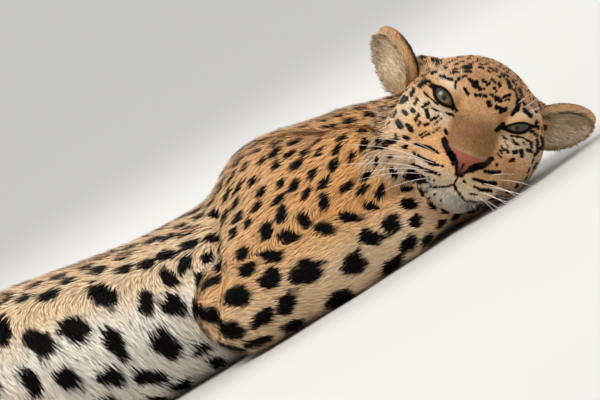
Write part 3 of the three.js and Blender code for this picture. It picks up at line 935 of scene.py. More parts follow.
# %% [markdown]
# Colours are written as they look on a screen and turned into amounts of light, which is what the
# materials need. Natural coats are never even, so a soft wander in three dimensions goes over them.

# %% Colours
def srgb(*rgb):
    c = np.array(rgb, float) / 255
    return np.where(c <= 0.04045, c / 12.92, ((c + 0.055) / 1.055) ** 2.4)


TAN, ORANGE, FACE = srgb(220, 181, 133), srgb(217, 160, 98), srgb(203, 155, 108)
CREAM, WHITE = srgb(231, 207, 172), srgb(238, 230, 216)
BROWN, BLACK = srgb(144, 105, 68), srgb(7, 5, 4)
PINK = srgb(146, 84, 66)


def waves(p, size, seed):
    """A soft wander between about -1 and 1 with features of a given size, in mm."""
    pick = np.random.default_rng(seed)
    out = np.zeros(len(p))
    for _ in range(5):
        way = unit(pick.normal(size=3)) * pick.uniform(0.6, 1.6) * 2 * math.pi / size
        out += np.sin(p @ way + pick.uniform(0, 6.3))
    return out / 2.6


def paint(colour, share, over):
    """A colour with a share of another one over it."""
    return colour + (over - colour) * np.asarray(share)[:, None]


print("tan in amounts of light:", TAN.round(3))


# %% [markdown]
# The ground of the coat is tan on the back, cream along the flank and white below. On a lying animal
# that is a question of how far round the body a place is from the spine, so it is read from the same
# section that made the trunk. The insides of the legs and the underside of the tail are white too.

# %% The ground of the body
def ground(p, n, w):
    get = dict(zip(names, w))
    turned = from_spine(p) + 6 * waves(p, 120, 3)
    colour = np.tile(TAN, (len(p), 1))
    upper = np.clip(0.3 + 0.2 * waves(p, 260, 5) + 0.6 * ramp(p[:, 0], 80, 230), 0, 1)
    colour = paint(colour, upper, ORANGE)
    flank = get["trunk"] * ramp(p[:, 0], 130, 20)
    hips = ramp(p[:, 0], -220, -320)
    colour = paint(colour, ramp(turned, 8, 60) * flank * (0.85 - 0.5 * hips), CREAM)
    colour = paint(colour, ramp(turned, 68 + 42 * hips, 100 + 38 * hips) * flank, WHITE)
    fore = get["right_fore_lower"] + get["left_fore_lower"]
    colour = paint(colour, ramp(p[:, 2], 88, 22) * fore * 0.85, CREAM)
    for leg in LEGS:
        out = -1 if leg.startswith("right") else 1
        inner = ramp(n[:, 1] * out + 0.4 * n[:, 2], -0.1, -0.8)
        share = get[f"{leg}_lower"] + get[f"{leg}_foot"] + get[f"{leg}_upper"] * 0.8
        colour = paint(colour, inner * share * 0.9, WHITE)
    return paint(colour, get["tail"] * ramp(n[:, 2], 0.1, -0.6), WHITE)


print("the back is", ground(on_back, np.array([[0, 0, 1]]), part_weights(part_distances(on_back))).round(3))


# %% [markdown]
# The face is looked at from straight ahead, as places across and up in millimetres. The bare pad of the
# nose, the black backs of the ears, the painted shade deep in their cups and the pale cheek that runs out
# on to the neck each have an outline of their own.

# %% Regions of the head
FACE_LEAN = 0.138  # how much lower each mm further forward looks, seen from ahead


def facing(q):
    """Places on the front of the face as they are seen from straight ahead: across and up."""
    return q[:, 1], q[:, 2] - FACE_LEAN * q[:, 0]


NOSE_EDGE = [(-70, 0), (-67, 1.5), (-58, 6), (-52, 12), (-48, 18), (-44, 22), (-40, 24)]


def nose_gap(m):
    """How far outside the bare pad of the nose a place of the face is."""
    across, up = facing(m)
    half = np.interp(up, *zip(*NOSE_EDGE))
    top = -44 + 0.004 * (across - 2) ** 2
    gap = np.maximum(np.maximum((across - half) * 0.8, up - top), -70 - up)
    return np.where(m[:, 0] > 48, gap, 20.0)


def ear_back(q, ears):
    """The black of the backs of the ears, round the pale spot that each one has."""
    dark = np.zeros(len(q))
    for side, base, axis, faces_to in EARS.values():
        middle, out, aside, mouth = ear_frame(base, axis, faces_to)
        mine = (ears > 0) & (ears < 1.3) & (np.sign(q[:, 1]) == side)
        d = q[mine] * [1, side, 1] - middle
        x, y, z = d @ aside, d @ out, d @ mouth
        spot = np.hypot(x, y - 9) / 13 + 0.15 * waves(d, 12, 51)
        back = ramp(z, 3, -3) * ramp(y, 30, 22)
        dark[mine] = back * ramp(spot, 0.9, 1.15)
    return dark


def ear_foot_shade(q):
    """How near the foot of its ear a place inside the cup is. It sets the painted shade deep in the cup."""
    near = np.zeros(len(q))
    for side, base, axis, faces_to in EARS.values():
        middle, out, _, _ = ear_frame(base, axis, faces_to)
        y = (q * [1, side, 1] - middle) @ out
        near = np.where(np.sign(q[:, 1]) == side, ramp(y, -2, -24), near)
    return near


def low_cheek(q, n):
    """The pale right cheek where it runs out on to the neck."""
    across, up = facing(q)
    share = ramp(across, 34, 48) * ramp(across, 97, 86) * ramp(up, -106, -94) * ramp(up, -26, -40)
    return share * ramp(q[:, 0], -120, -100) * ramp(n @ FORWARD, 0.05, 0.25)


nose_tip = np.array([[75.0, 0.0, -50.0]])
print("the tip of the nose is", -nose_gap(nose_tip)[0].round(1), "mm inside the pad")


# %% [markdown]
# A leopard's face is brown on the bridge of the nose, pale under and over the eyes, on the pads of the
# whiskers and on the cheeks, and white on the throat. Each of these is one soft patch laid over the
# ground, from the broad ones to the small.

# %% The colours of the face
def paint_face(colour, head, q, n, ears):
    m = mirrored(q)
    across, up = facing(m)
    forward = m[:, 0]
    front = ramp(n @ FORWARD, -0.25, 0.25) * head
    cheek = ramp(up, 4, -26) * ramp(across, 22, 36) * head
    own = paint(np.tile(FACE, (len(q), 1)), cheek * 0.75, CREAM * 0.74)
    beside_nose = ramp(forward, 8, 26) * ramp(up, -18, -34) * ramp(up, -74, -60)
    own = paint(own, beside_nose * 0.75, ORANGE * 0.92)
    under_eye = np.exp(-(((across - 42) / 17) ** 2) - ((up + 17) / 8) ** 2)
    own = paint(own, np.clip(under_eye * 1.1, 0, 1) * front, CREAM * 0.86)
    over_eye = np.exp(-(((across - 44) / 15) ** 2) - ((up - 15 - 0.25 * (across - 40)) / 5) ** 2)
    own = paint(own, np.clip(over_eye * 1.1, 0, 1) * front, CREAM * 0.92)
    pads = ramp(forward, 16, 34) * ramp(up, -44, -56)
    own = paint(own, pads * (0.12 + 0.78 * ramp(up, -58, -76)), CREAM * 0.9)
    bridge = ramp(across, 29, 21) * ramp(up, 2, -16) * ramp(forward, -10, 6)
    own = paint(own, bridge * ramp(up, -52, -46), BROWN)
    own = paint(own, bridge * ramp(up, -38, -43) * ramp(up, -50, -46) * 0.4, srgb(180, 142, 108))
    pad = ramp(nose_gap(m), 0.8, -0.6)
    own = paint(own, pad, PINK)
    own = paint(own, pad * ramp(up, -48, -62) * 0.7, srgb(84, 44, 34))
    chin = ramp(up, -82, -88) * ramp(across, 52, 34) * ramp(forward, -20, 6)
    throat = ramp(m[:, 2], -66, -84) * ramp(across, 70, 50)
    own = paint(own, throat * 0.8, WHITE)
    # Painted shade: the white chin is painted grey, as it lies in shade between the head and the forearm.
    own = paint(own, chin, WHITE * 0.44)
    colour = paint(colour, low_cheek(q, n) * 0.75, CREAM * 0.78)
    colour = paint(colour, head, own)
    colour[ears > 0] = FACE
    colour = paint(colour, ear_back(q, ears), BLACK)
    hollow = ramp(ears, 1.3, 1.9)
    colour = paint(colour, hollow, CREAM * 0.8)
    # Painted shade: deep in each ear's cup, near its foot, the inside is painted brown.
    return paint(colour, hollow * ear_foot_shade(q) * 0.6, BROWN)


print("patches of the face are laid over", FACE.round(3))

# %% [markdown]
# How far apart spots stand is a matter of where they are: close together on the head and the shoulder,
# wide apart on the pale flank. The front of the face is left free, because its marks are drawn later.

# %% Where spots may stand
q_skin = in_head(points)
w_skin = part_weights(part_distances(points))
lie_skin = lie_of_coat(points, w_skin)
lie_skin = unit(lie_skin - normals * (lie_skin * normals).sum(1, keepdims=True))


def spacing_of(p, w, q):
    """Millimetres from one spot to the next."""
    out = SPOT_SPACING @ w
    high = ramp(from_spine(p), 66, 48) * ramp(p[:, 0], -230, -150)
    wider = ramp(p[:, 0], 60, -130) * 24 * (1 - high) - 15 + 2 * high
    out = out + weight_of(w, "trunk") * wider
    shoulder = weight_of(w, "right_fore_upper", "left_fore_upper")
    out = out - shoulder * 2.5 * ramp(p[:, 0], 40, 90)
    head = weight_of(w, "head")
    m = mirrored(q)
    fore = ramp(m[:, 2], -2, 10)
    own = 13.5 - 1.5 * fore + 4 * ramp(m[:, 0], -50, -100)
    out = out * (1 - head) + own * head
    wrist = weight_of(w, "right_fore_lower", "left_fore_lower") * ramp(p[:, 0], 150, 230)
    return out - 11 * wrist


def no_spots(q, n, ears, head):
    """The front of the face, the lips and the ears have none of these spots."""
    m = mirrored(q)
    across, up = facing(m)
    bridge = (across < 22 + 0.1 * up) & (up < 8) & (m[:, 0] > -10)
    muzzle = (m[:, 0] > 20) & (up < -36)
    eye = np.linalg.norm((m - [8, EYE_OUT, 0]) * [1, 1, 1.15], axis=1) < 21
    chin = (up < -80) & (m[:, 0] > 0)
    seen = np.where(q[:, 1] > 0, (across < 88) & (up > -98), (across < 66) & (up > -48))
    drawn = seen & (up < 37) & (m[:, 0] > -76) & (n @ FORWARD > 0.1)
    face = (bridge | muzzle | eye | chin | drawn) & (head > 0.5)
    return face | (low_cheek(q, n) > 0.3) | (ears > 0)


spacing = spacing_of(points, w_skin, q_skin)
head_skin = weight_of(w_skin, "head")
facing_floor = normals[:, 2] < -0.85
blocked = no_spots(q_skin, normals, in_ear, head_skin) | facing_floor
print("skin free for spots:", round(100 * (1 - blocked.mean())), "% of the vertices")

# %% [markdown]
# Spots are scattered over the skin one by one, and none stands much nearer to another than the spacing
# of its part of the body, as real ones do. Vertices are tried in a random order that favours the large
# triangles, so that the fine mesh of the face gets no more than its share.

# %% Scatter the spots
corners = points[faces]
face_across = np.cross(corners[:, 1] - corners[:, 0], corners[:, 2] - corners[:, 0])
face_area = np.linalg.norm(face_across, axis=1) / 2
area = np.bincount(faces.ravel(), np.repeat(face_area / 3, 3), len(points))
order = np.argsort(points[:, 0])
sorted_x = points[order, 0]
free = ~blocked[order]
queue = np.argsort(-(rng.random(len(points)) ** (1 / np.maximum(area[order], 1e-3))))
sorted_points, sorted_space = points[order], spacing[order]
sorted_lie = lie_skin[order]
sorted_head = head_skin[order]
sorted_gap, sorted_slack = 0.8 - 0.08 * sorted_head, 0.3 * sorted_head
chosen = []
for i in queue:
    if not free[i]:
        continue
    chosen.append(order[i])
    reach_x = sorted_space[i] * 1.2
    a, b = np.searchsorted(sorted_x, [sorted_x[i] - reach_x, sorted_x[i] + reach_x])
    d = sorted_points[a:b] - sorted_points[i]
    along = d @ sorted_lie[i]
    free[a:b] &= (d * d).sum(1) > (sorted_gap[i] * sorted_space[i]) ** 2 + sorted_slack[i] * along**2
chosen = np.array(chosen)
print("spots:", len(chosen))

# %% [markdown]
# A spot is an oval that follows the lie of the coat. Spots are small and long on the shoulder, where
# the skin is folded, round and bold on the forearm, and long ovals on the pale flank. Each is as large
# as the gap to its nearest neighbour lets it be.

# %% The size and turn of each spot
SPOTS = {}
place = points[chosen]
count = len(chosen)
w_spot = w_skin[:, chosen]
head_share = weight_of(w_spot, "head")
trunk_share = weight_of(w_spot, "trunk")
shoulder_share = weight_of(w_spot, "right_fore_upper", "left_fore_upper")
forearm_share = weight_of(w_spot, "right_fore_lower", "left_fore_lower")
turned = from_spine(place)
apart = ((place[:, None] - place[None]) ** 2).sum(2)
apart[np.arange(count), np.arange(count)] = 1e9
nearest = np.sqrt(apart.min(1))
share_of_gap = 0.375 - 0.045 * head_share + 0.06 * forearm_share + 0.02 * trunk_share
size = nearest * (share_of_gap + 0.025 * rng.normal(size=count).clip(-1.5, 1.5))
size = np.minimum(size, 0.47 * spacing[chosen])
longer = 1.1 + 0.35 * rng.random(count) + 0.35 * trunk_share + 0.5 * shoulder_share
turn = rng.normal(size=count) * (0.35 - 0.15 * shoulder_share)
SPOTS["place"] = place
SPOTS["along"] = size * np.sqrt(longer)
SPOTS["across"] = size / np.sqrt(longer)
lie = lie_skin[chosen]
aside = np.cross(normals[chosen], lie)
SPOTS["lie"] = lie * np.cos(turn)[:, None] + aside * np.sin(turn)[:, None]
slanting = (trunk_share > 0.6) & (turned < 62) & (place[:, 0] > -200)
slant = np.array([0.85, 0, -0.5])
slant = slant - normals[chosen] * (normals[chosen] @ slant)[:, None]
SPOTS["lie"][slanting] = unit(slant)[slanting]
SPOTS["aside"] = np.cross(normals[chosen], SPOTS["lie"])
print("spots are", (2 * size.min()).round(1), "to", (2 * size.max()).round(1), "mm wide")

# %% [markdown]
# High on the flanks and on the hips a spot opens into a rosette: a broken ring round a darker middle.
# Rosettes are larger than plain spots, and each ring is broken in places of its own.

# %% Which spots are rosettes
hind = weight_of(w_spot, "right_hind_upper", "left_hind_upper")
rosette = (trunk_share * ramp(place[:, 0], -120, -190) * (turned < 62) + hind) > 0.5
rosette |= (trunk_share > 0.6) & (turned < 62) & (rng.random(count) < 0.14)
SPOTS["rosette"] = rosette
SPOTS["along"][rosette] *= 1.22
SPOTS["across"][rosette] *= 1.32
SPOTS["phase"] = rng.uniform(0, 6.3, count)
print("rosettes:", int(rosette.sum()))

# %% [markdown]
# The boldest marks of a leopard's face are always in the same places: the black edge of the nose, the
# line of the lips, rows of spots that the whiskers grow from, dark strokes at the eyes and brows. They
# are written as strokes from place to place as the face is seen from ahead, in mm across and up.

# %% Strokes of the face
STROKES = [
    # both halves: width, then across, up
    (6.2, [(25, -40), (21, -46), (14.5, -51)]),
    (7.6, [(17.5, -49), (13, -52), (9, -56)]),
    (3.4, [(7.5, -56), (2.5, -67)]),
    (2.2, [(0, -66), (0, -78)]),
    (1.5, [(0, -54), (0, -66)]),
    (2.6, [(0, -77), (6, -82), (16, -87), (26, -86), (36, -87)]),
]
MARKS = [  # from across, up to across, up, and the width. The right half is across > 0.
    # crown and forehead
    (43, 37, 38, 42, 2.8), (51, 35, 48, 39, 2.5), (32, 38, 23, 40, 2.1), (27, 44, 18, 45, 2.1),
    (22, 52, 15, 53, 2.1), (41, 24, 34, 29, 2.8), (31, 31, 25, 36, 4.3), (48, 24, 44, 28, 2.1),
    (58, 27, 52, 28, 3.4), (23, 25, 12, 21, 4.0), (17, 21, 16, 25, 4.0), (11, 19, 6, 22, 2.1),
    (24, 15, 19, 11, 3.1), (12, 13, 7, 15, 2.8), (4, 15, 2, 16, 3.4), (-2, 19, -4, 19, 2.8),
    (-3, 27, -6, 24, 2.8), (-6, 32, -8, 30, 2.8), (5, 26, 3, 29, 2.5), (10, 29, 7, 28, 3.1),
    (2, 33, -2, 32, 3.1), (-8, 18, -13, 17, 4.3), (-15, 22, -20, 26, 3.1), (-17, 19, -21, 22, 2.5),
    (-3, 11, -5, 9, 4.3), (-12, 10, -16, 10, 4.3), (-17, 7, -21, 12, 3.7), (-24, 33, -27, 27, 2.8),
    (-28, 33, -32, 29, 4.0), (-15, 36, -18, 33, 3.7), (-17, 42, -20, 39, 2.8), (-27, 43, -30, 39, 3.1),
    (-39, 36, -43, 32, 4.0), (-30, 24, -32, 16, 5.0), (-32, 16, -29, 10, 4.4), (-39, 18, -48, 15, 4.0),
    (-47, 25, -52, 21, 3.1), (-50, 35, -53, 32, 3.1), (-55, 12, -59, 6, 3.1), (-35, 24, -39, 23, 2.5),
    (-55, 26, -58, 22, 2.5), (2, 42, -1, 42, 2.8), (-6, 42, -9, 40, 2.8), (11, 48, 8, 48, 4.0),
    (7, 43, 5, 45, 2.5), (-3, 49, -7, 47, 2.5), (-15, 49, -19, 47, 2.5), (-24, 48, -27, 47, 2.1),
    (-33, 45, -38, 42, 2.5), (46, 45, 43, 48, 2.5), (35, 46, 31, 49, 2.1), (8, 56, 3, 55, 2.5),
    (-5, 53, -8, 53, 2.1),
    # right brow
    (50, 17, 39, 18, 3.1), (33, 12, 34, 17, 2.1), (34, 17, 32, 23, 2.1), (32, 23, 27, 27, 2.1),
    (64, -1, 60, 7, 4.0), (59, 16, 55, 19, 2.1), (74, 2, 69, 6, 2.1), (67, 19, 64, 22, 2.1),
    # right cheek
    (75, -22, 72, -18, 5.8), (68, -13, 68, -6, 3.1), (76, -13, 74, -8, 3.1), (82, -15, 81, -10, 2.8),
    (81, -33, 81, -27, 3.1), (69, -30, 67, -31, 3.7), (63, -25, 62, -26, 3.7), (76, -39, 76, -34, 4.0),
    (84, -42, 84, -37, 3.1), (63, -19, 62, -14, 2.8), (55, -18, 52, -13, 3.1), (51, -20, 48, -25, 4.0),
    (57, -33, 57, -27, 3.4), (44, -27, 39, -21, 2.1), (53, -36, 53, -33, 2.8), (48, -34, 45, -31, 2.5),
    (40, -30, 35, -22, 1.4), (70, -42, 67, -45, 5.5), (62, -41, 57, -44, 4.0), (81, -49, 81, -45, 2.5),
    (89, -49, 85, -58, 2.8), (48, -45, 44, -39, 1.7), (45, -46, 41, -40, 1.7), (38, -38, 33, -30, 1.4),
    (27, -31, 25, -33, 3.4), (71, -64, 68, -61, 5.2), (76, -67, 74, -69, 4.3), (57, -63, 56, -61, 3.4),
    (61, -53, 57, -53, 4.0), (69, -78, 65, -77, 2.8), (61, -88, 56, -93, 5.5), (47, -89, 43, -90, 4.0),
    (42, -84, 30, -85, 8.6), (34, -91, 28, -87, 4.6), (58, -5, 43, -10, 1.8), (79, -84, 78, -89, 3.4),
    (31, -3, 26, -7, 2.3), (84, -67, 81, -71, 3.7), (68, -54, 65, -58, 2.1),
    # rows of the right whiskers
    (47.7, -54.7, 44.3, -54.2, 3.1), (41.4, -53.8, 36.9, -52.8, 3.5), (35.2, -52.9, 31.7, -53.3, 3.2),
    (28.2, -53.8, 26.4, -54.0, 2.8), (46.3, -64.0, 39.8, -64.9, 3.1), (39.2, -65.2, 33.3, -65.3, 3.7),
    (32.3, -65.7, 26.5, -65.7, 3.8), (24.2, -65.3, 21.8, -65.0, 2.8), (19.1, -64.4, 18.0, -64.4, 2.6),
    (44.3, -74.7, 39.1, -74.5, 2.8), (37.8, -74.5, 32.4, -74.7, 2.8), (31.2, -74.2, 25.7, -73.6, 3.5),
    (23.3, -73.4, 20.8, -73.4, 2.8), (17.3, -73.9, 16.4, -73.9, 2.1), (25.5, -80.1, 24.0, -81.3, 2.1),
    (19.4, -80.7, 18.9, -80.8, 2.0),
    # left cheek
    (-69, -4, -71, -8, 4.3), (-63, -6, -65, -10, 3.4), (-57, -10, -60, -14, 2.8),
    (-57, -18, -61, -18, 3.7), (-51, -21, -53, -25, 4.3), (-44, -25, -46, -24, 4.3),
    (-40, -14, -43, -17, 2.8), (-31, -19, -36, -22, 1.4), (-30, -24, -34, -27, 1.4),
    (-30, -28, -34, -31, 1.4), (-29, -32, -34, -35, 1.4), (-36, -26, -38, -27, 2.8),
    (-44, -34, -46, -32, 3.7), (-66, -20, -67, -18, 3.7), (-75, -13, -77, -16, 3.4),
    (-50, -12, -53, -14, 1.8), (-36, -11, -49, -8, 1.7), (-49, -8, -59, -11, 2.0),
    (-69, -12, -71, -12, 3.1), (-32, -43, -33, -43, 2.8),
    # rows of the left whiskers
    (-22.1, -53.2, -26.5, -51.7, 3.1), (-27.6, -52.3, -32.6, -50.5, 3.5),
    (-33.4, -50.5, -37.9, -48.4, 3.2), (-15.2, -64.2, -23.8, -63.2, 3.1),
    (-24.8, -63.6, -37.7, -60.7, 4.1), (-18.8, -71.0, -25.6, -71.4, 2.5),
    (-25.6, -71.4, -36.1, -68.8, 3.4), (-6.8, -70.1, -9.4, -70.2, 2.1),
    (-18.9, -79.1, -24.9, -77.6, 2.0),
    # corners of the eyes
    (29, -4, 27, -9, 2.6), (52, 3, 55, 4, 3.4), (-20, -12, -25, -3, 4.0), (-51, 2, -61, -2, 3.0),
    # chin
    (20, -93, 21, -95, 1.8), (12, -92, 13, -94, 1.6), (5, -95, 5, -97, 1.6),
    (27, -95, 28, -97, 2.0), (16, -98, 16, -100, 1.6),
]
print("marks of the face:", len(STROKES) + len(MARKS))


# %% [markdown]
# A mark is black where the gap to its stroke is less than half its width. A little wander makes the
# edges ragged, as hair does. Spots work the same way, with an oval in place of the stroke. The last
# quarter of the tail has broken rings and a black tip.

# %% How dark the marks are
def stroke_darkness(q, n):
    """How black the strokes make each place of the face."""
    forward, out = q[:, 0], q[:, 1]
    across, up = facing(q)
    ahead = n @ FORWARD
    at_nose = (forward > 48) & (np.abs(out) < 27) & (up > -64) & (up < -38)
    near = (forward > -120) & (np.abs(out) < 92) & (up > -102) & (up < 60) & ((ahead > 0) | at_nose)
    x, y, wave = across[near], up[near], 0.35 * waves(q[near], 7, 11) + 0.25 * waves(q[near], 3, 12)
    lines = [(np.abs(x), *a, *b, width) for width, line in STROKES for a, b in zip(line, line[1:])]
    lines += [(x, *mark[:4], mark[4] * 1.12 + 0.2) for mark in MARKS]
    found = np.zeros(near.sum())
    for u, ax, ay, bx, by, width in lines:
        dx, dy = bx - ax, by - ay
        t = np.clip(((u - ax) * dx + (y - ay) * dy) / max(dx * dx + dy * dy, 1e-6), 0, 1)
        gap = np.hypot(u - ax - t * dx, y - ay - t * dy) + wave
        found = np.maximum(found, ramp(gap, width / 2 + 0.5, width / 2 - 0.5))
    dark = np.zeros(len(q))
    dark[near] = found * np.where(at_nose[near], 1, ramp(ahead[near], 0.02, 0.16))
    return dark


def spot_darkness(p, soft=0.14):
    """How black, and how brown inside a rosette, the scattered spots make each place."""
    order = np.argsort(p[:, 0])
    s = p[order]
    wander = 1 + 0.16 * waves(s, 14, 21) + 0.1 * waves(s, 5, 22)
    black, brown = np.zeros(len(s)), np.zeros(len(s))
    for i in range(len(SPOTS["place"])):
        far = max(SPOTS["along"][i], SPOTS["across"][i]) * 1.35
        a, b = np.searchsorted(s[:, 0], [SPOTS["place"][i, 0] - far, SPOTS["place"][i, 0] + far])
        d = s[a:b] - SPOTS["place"][i]
        near = (np.abs(d[:, 1]) < far) & (np.abs(d[:, 2]) < far)
        if not near.any():
            continue
        d = d[near]
        at = np.flatnonzero(near) + a
        u, v = d @ SPOTS["lie"][i] / SPOTS["along"][i], d @ SPOTS["aside"][i] / SPOTS["across"][i]
        r = np.hypot(u, v) * wander[at]
        dark = ramp(r, 1 + soft, 1 - soft)
        if SPOTS["rosette"][i]:
            angle = np.arctan2(v, u)
            gap = np.sin(angle * 2 + SPOTS["phase"][i]) + 0.6 * np.sin(angle * 5 + 2 * SPOTS["phase"][i])
            ring = ramp(r, 0.4, 0.52) * ramp(gap, -1.25, -0.85)
            brown[at] = np.maximum(brown[at], dark)
            dark = dark * ring
        black[at] = np.maximum(black[at], dark)
    out = np.zeros((2, len(p)))
    out[0, order], out[1, order] = black, brown
    return out


def tail_rings(p):
    """The black tip of the tail and the broken rings before it."""
    dark = np.zeros(len(p))
    mine = p[:, 0] < -760
    run = nearest_on_tail(p[mine]) / (TAIL_POINTS - 1) + 0.004 * waves(p[mine], 20, 61)
    rings = ramp(np.sin(run * 150), 0.35, 0.75) * ramp(run, 0.72, 0.76)
    dark[mine] = np.maximum(rings * ramp(p[mine, 2], 9, 16), ramp(run, 0.955, 0.965))
    return dark


print("marks on the nose are", stroke_darkness(nose_tip, FORWARD[None]).round(2), "dark at its tip")


# %% [markdown]
# The coat's colour is all of these together: the ground, then the brown middles of rosettes, then every
# black mark, and last the black rims of the eyelids. Skin and tufts both ask this one function.

# %% The colour of the coat
def coat_colour(p, n, w, q, ears):
    """The colour of the coat at each place, markings and all."""
    head = weight_of(w, "head")
    colour = paint_face(ground(p, n, w), head, q, n, ears)
    black, brown = spot_darkness(p)
    black, brown = black * (ears < 0.5), brown * (ears < 0.5)
    colour = paint(colour, brown * 0.65, srgb(176, 122, 70))
    black = np.maximum(black, tail_rings(p) * weight_of(w, "tail"))
    strokes = stroke_darkness(q, n) * ((head > 0.3) | (low_cheek(q, n) > 0.2)) * (ears == 0)
    black = np.maximum(black, strokes)
    upper_lid = ramp((mirrored(q) - [0, EYE_OUT, 0]) @ EYE_HIGH, -1, 3)
    rim = ramp(inside_lids(q), -1.9 - 0.9 * upper_lid, -1.1 - 0.9 * upper_lid)
    return paint(colour, np.maximum(black, rim), BLACK)


clock = time.time()
skin_colour = coat_colour(points, normals, w_skin, q_skin, in_ear)
print("painted the skin in", round(time.time() - clock, 1), "s")

# %% [markdown]
# A coat of short fur is made of thin tufts, each one a narrow blade from its root to its tip. They
# stand closest on the face, where they are smallest. The bare pad of the nose, the eyeballs and the
# flats that the animal rests on have none. Roots are drawn at random over the triangles.

# %% Roots of the tufts
def skin_values(index, share, *arrays):
    """Arrays that are known at the skin's vertices, at places inside its triangles."""
    corner = faces[index]
    values = []
    for array in arrays:
        part = share if array.ndim == 1 else share[:, :, None]
        values.append((array[corner] * part).sum(1))
    return values


def density_at(w, q, ears):
    """Tufts to a square millimetre."""
    head = weight_of(w, "head")
    own = 0.55 + 0.75 * ramp(q[:, 0], -60, 0)
    feet = weight_of(w, *[f"{leg}_foot" for leg in LEGS])
    out = 0.25 * (1 - head) * (1 - feet) + own * head + 0.5 * feet
    return np.where(ears > 0, 0.55, out)


face_normal = normals[faces].mean(1)
density = density_at(w_skin, q_skin, in_ear)
bare_nose = (nose_gap(mirrored(q_skin)) < 1.0) & (in_ear == 0)
density = np.where((opened > -1.0) | bare_nose, 0, density)
weight = density[faces].min(1) * face_area
weight[(corners[:, :, 2].max(1) < 1.5) & (face_normal[:, 2] < -0.5)] = 0
wanted = weight.sum()
index = np.searchsorted(np.cumsum(weight) / wanted, rng.random(int(wanted)))
share = -np.log(np.maximum(rng.random((len(index), 3)), 1e-9))
share /= share.sum(1, keepdims=True)
root, up, lie, ears = skin_values(index, share, points, normals, lie_skin, in_ear)
up = unit(up)
w_root = np.array(skin_values(index, share, *w_skin))
q_root = in_head(root)
print("tufts:", len(root))

# %% [markdown]
# Hair is a few millimetres long on the muzzle, longer on the cheeks, the throat and the chin, and
# longest on the belly and inside the ears.

# %% How long each tuft is
length = HAIR_LENGTH @ w_root
head_root = weight_of(w_root, "head")
m = mirrored(q_root)
across, rise = facing(m)
forward, out, up_head = m.T
cheek = ramp(out, 44, 66) * ramp(up_head, 4, -16)
throat = ramp(up_head, -50, -80) * ramp(forward, 60, 30)
chin = ramp(rise, -80, -92) * ramp(across, 40, 20) * ramp(forward, 10, 26)
own = 3.6 + 5.0 * ramp(forward, 22, -60) + 3.5 * cheek + 4.5 * throat + 4 * chin
own = own - 0.8 * ramp(forward, 30, 60)
length = length * (1 - head_root) + own * head_root
belly = ramp(from_spine(root), 75, 110) * weight_of(w_root, "trunk")
length = length * (1 + 0.6 * belly)
IN_CUP = 1.4  # the value of ears from which a tuft grows inside the cup
length = np.where(ears > IN_CUP, 15, np.where(ears > 0, 7, length))
print("tufts are", length.min().round(1), "to", length.max().round(1), "mm long")

# %% [markdown]
# The hair of an ear runs along it, and inside the cup it sweeps across. Everywhere else it lies as the
# coat does. Each tuft then turns a little from that, with its neighbours and on its own, so that the
# coat doesn't look combed.

# %% Which way each tuft lies
for sign, base, axis, faces_to in EARS.values():
    middle, out, aside, mouth = ear_frame(base, axis, faces_to)
    mine = (ears > 0) & (np.sign(q_root[:, 1]) == sign)
    local = q_root[mine] * [1, sign, 1] - middle
    way = np.where((ears[mine] > IN_CUP)[:, None], out * 0.8 + aside * 0.55 + mouth * 0.25, out)
    way = way + 0.02 * (local @ aside)[:, None] * aside
    lie[mine] = (way * [1, sign, 1]) @ HEAD_AXES
    from_middle = np.hypot(local @ out / EAR_RADII[0], local @ aside / EAR_RADII[1])
    length[mine] *= np.where(ears[mine] > 1.2, 1 - 0.6 * ramp(from_middle, 0.5, 0.85), 0.7)
lie = unit(lie - up * (lie * up).sum(1, keepdims=True))
wander = 0.16 * waves(root, 70, 31) + 0.10 * waves(root, 18, 32)
wander = wander + rng.normal(size=len(root)) * np.where(ears > IN_CUP, 0.3, 0.13)
aside = np.cross(up, lie)
lie = lie * np.cos(wander)[:, None] + aside * np.sin(wander)[:, None]
aside = np.cross(up, lie)
length = length * rng.uniform(0.7, 1.15, len(root))
width = np.interp(length, [3, 6, 12, 20], [0.6, 0.8, 1.25, 1.4])
width = width * rng.uniform(0.8, 1.2, len(root))
print("tufts are", width.min().round(2), "to", width.max().round(2), "mm wide")

# %% [markdown]
# A real leopard's tufts lie almost flat, overlap like tiles and end just under the outline. So each
# tuft asks the body's own distance how high it stands, at its middle and at its tip, and none goes
# into the floor.

# %% Lay the tufts down
TUFT_FLOOR = 0.5
depth = coat_depth(root, w_root)
depth = np.where(ears > IN_CUP, 4.0, np.where(ears > 0, 1.6, depth))
clock = time.time()
middle = root + lie * (length * 0.5)[:, None]
tip = root + lie * length[:, None]
stand = rng.uniform(0.45, 1.0, len(root)) * depth * (1 + 0.6 * belly)
for spot, height in ((middle, stand * 0.62), (tip, stand)):
    body = ears == 0
    value = fold_depth(spot[body], under_coat(spot[body]))
    lift = np.zeros(len(root))
    lift[body] = np.clip(height[body] - value, -6, 6)
    lift[~body] = height[~body]
    spot += up * lift[:, None]
    spot[:, 2] = np.maximum(spot[:, 2], TUFT_FLOOR)
start = root - up * 0.3
start[:, 2] = np.maximum(start[:, 2], TUFT_FLOOR)
half = aside * (width / 2)[:, None]
blades = np.stack([start - half * 0.8, start + half * 0.8, middle - half, middle + half, tip], 1)
print("laid in", round(time.time() - clock, 1), "s")

# %% [markdown]
# A tuft has the colour of the coat at its middle, a little lighter or darker than its neighbours. Its
# normals lean a little at random, so that light breaks up over the coat as it does on real hair.

# %% Colour the tufts
clock = time.time()
colour_at = root + lie * (length * 0.45)[:, None]
tuft_colour = coat_colour(colour_at, up, w_root, in_head(colour_at), ears)
light = rng.normal(size=len(root)) * (0.08 + 0.1 * head_root)
light = light + 0.05 * waves(root, 26, 41) + 0.06 * waves(root, 9, 42)
tuft_colour = np.clip(tuft_colour * (1 + light)[:, None], 0, 1)
print("painted the tufts in", round(time.time() - clock, 1), "s")
tilt = rng.normal(size=(len(root), 2)) * (0.16 + 0.1 * head_root)[:, None]
tuft_normal = unit(up + aside * tilt[:, :1] + lie * (tilt[:, 1:] + 0.1))
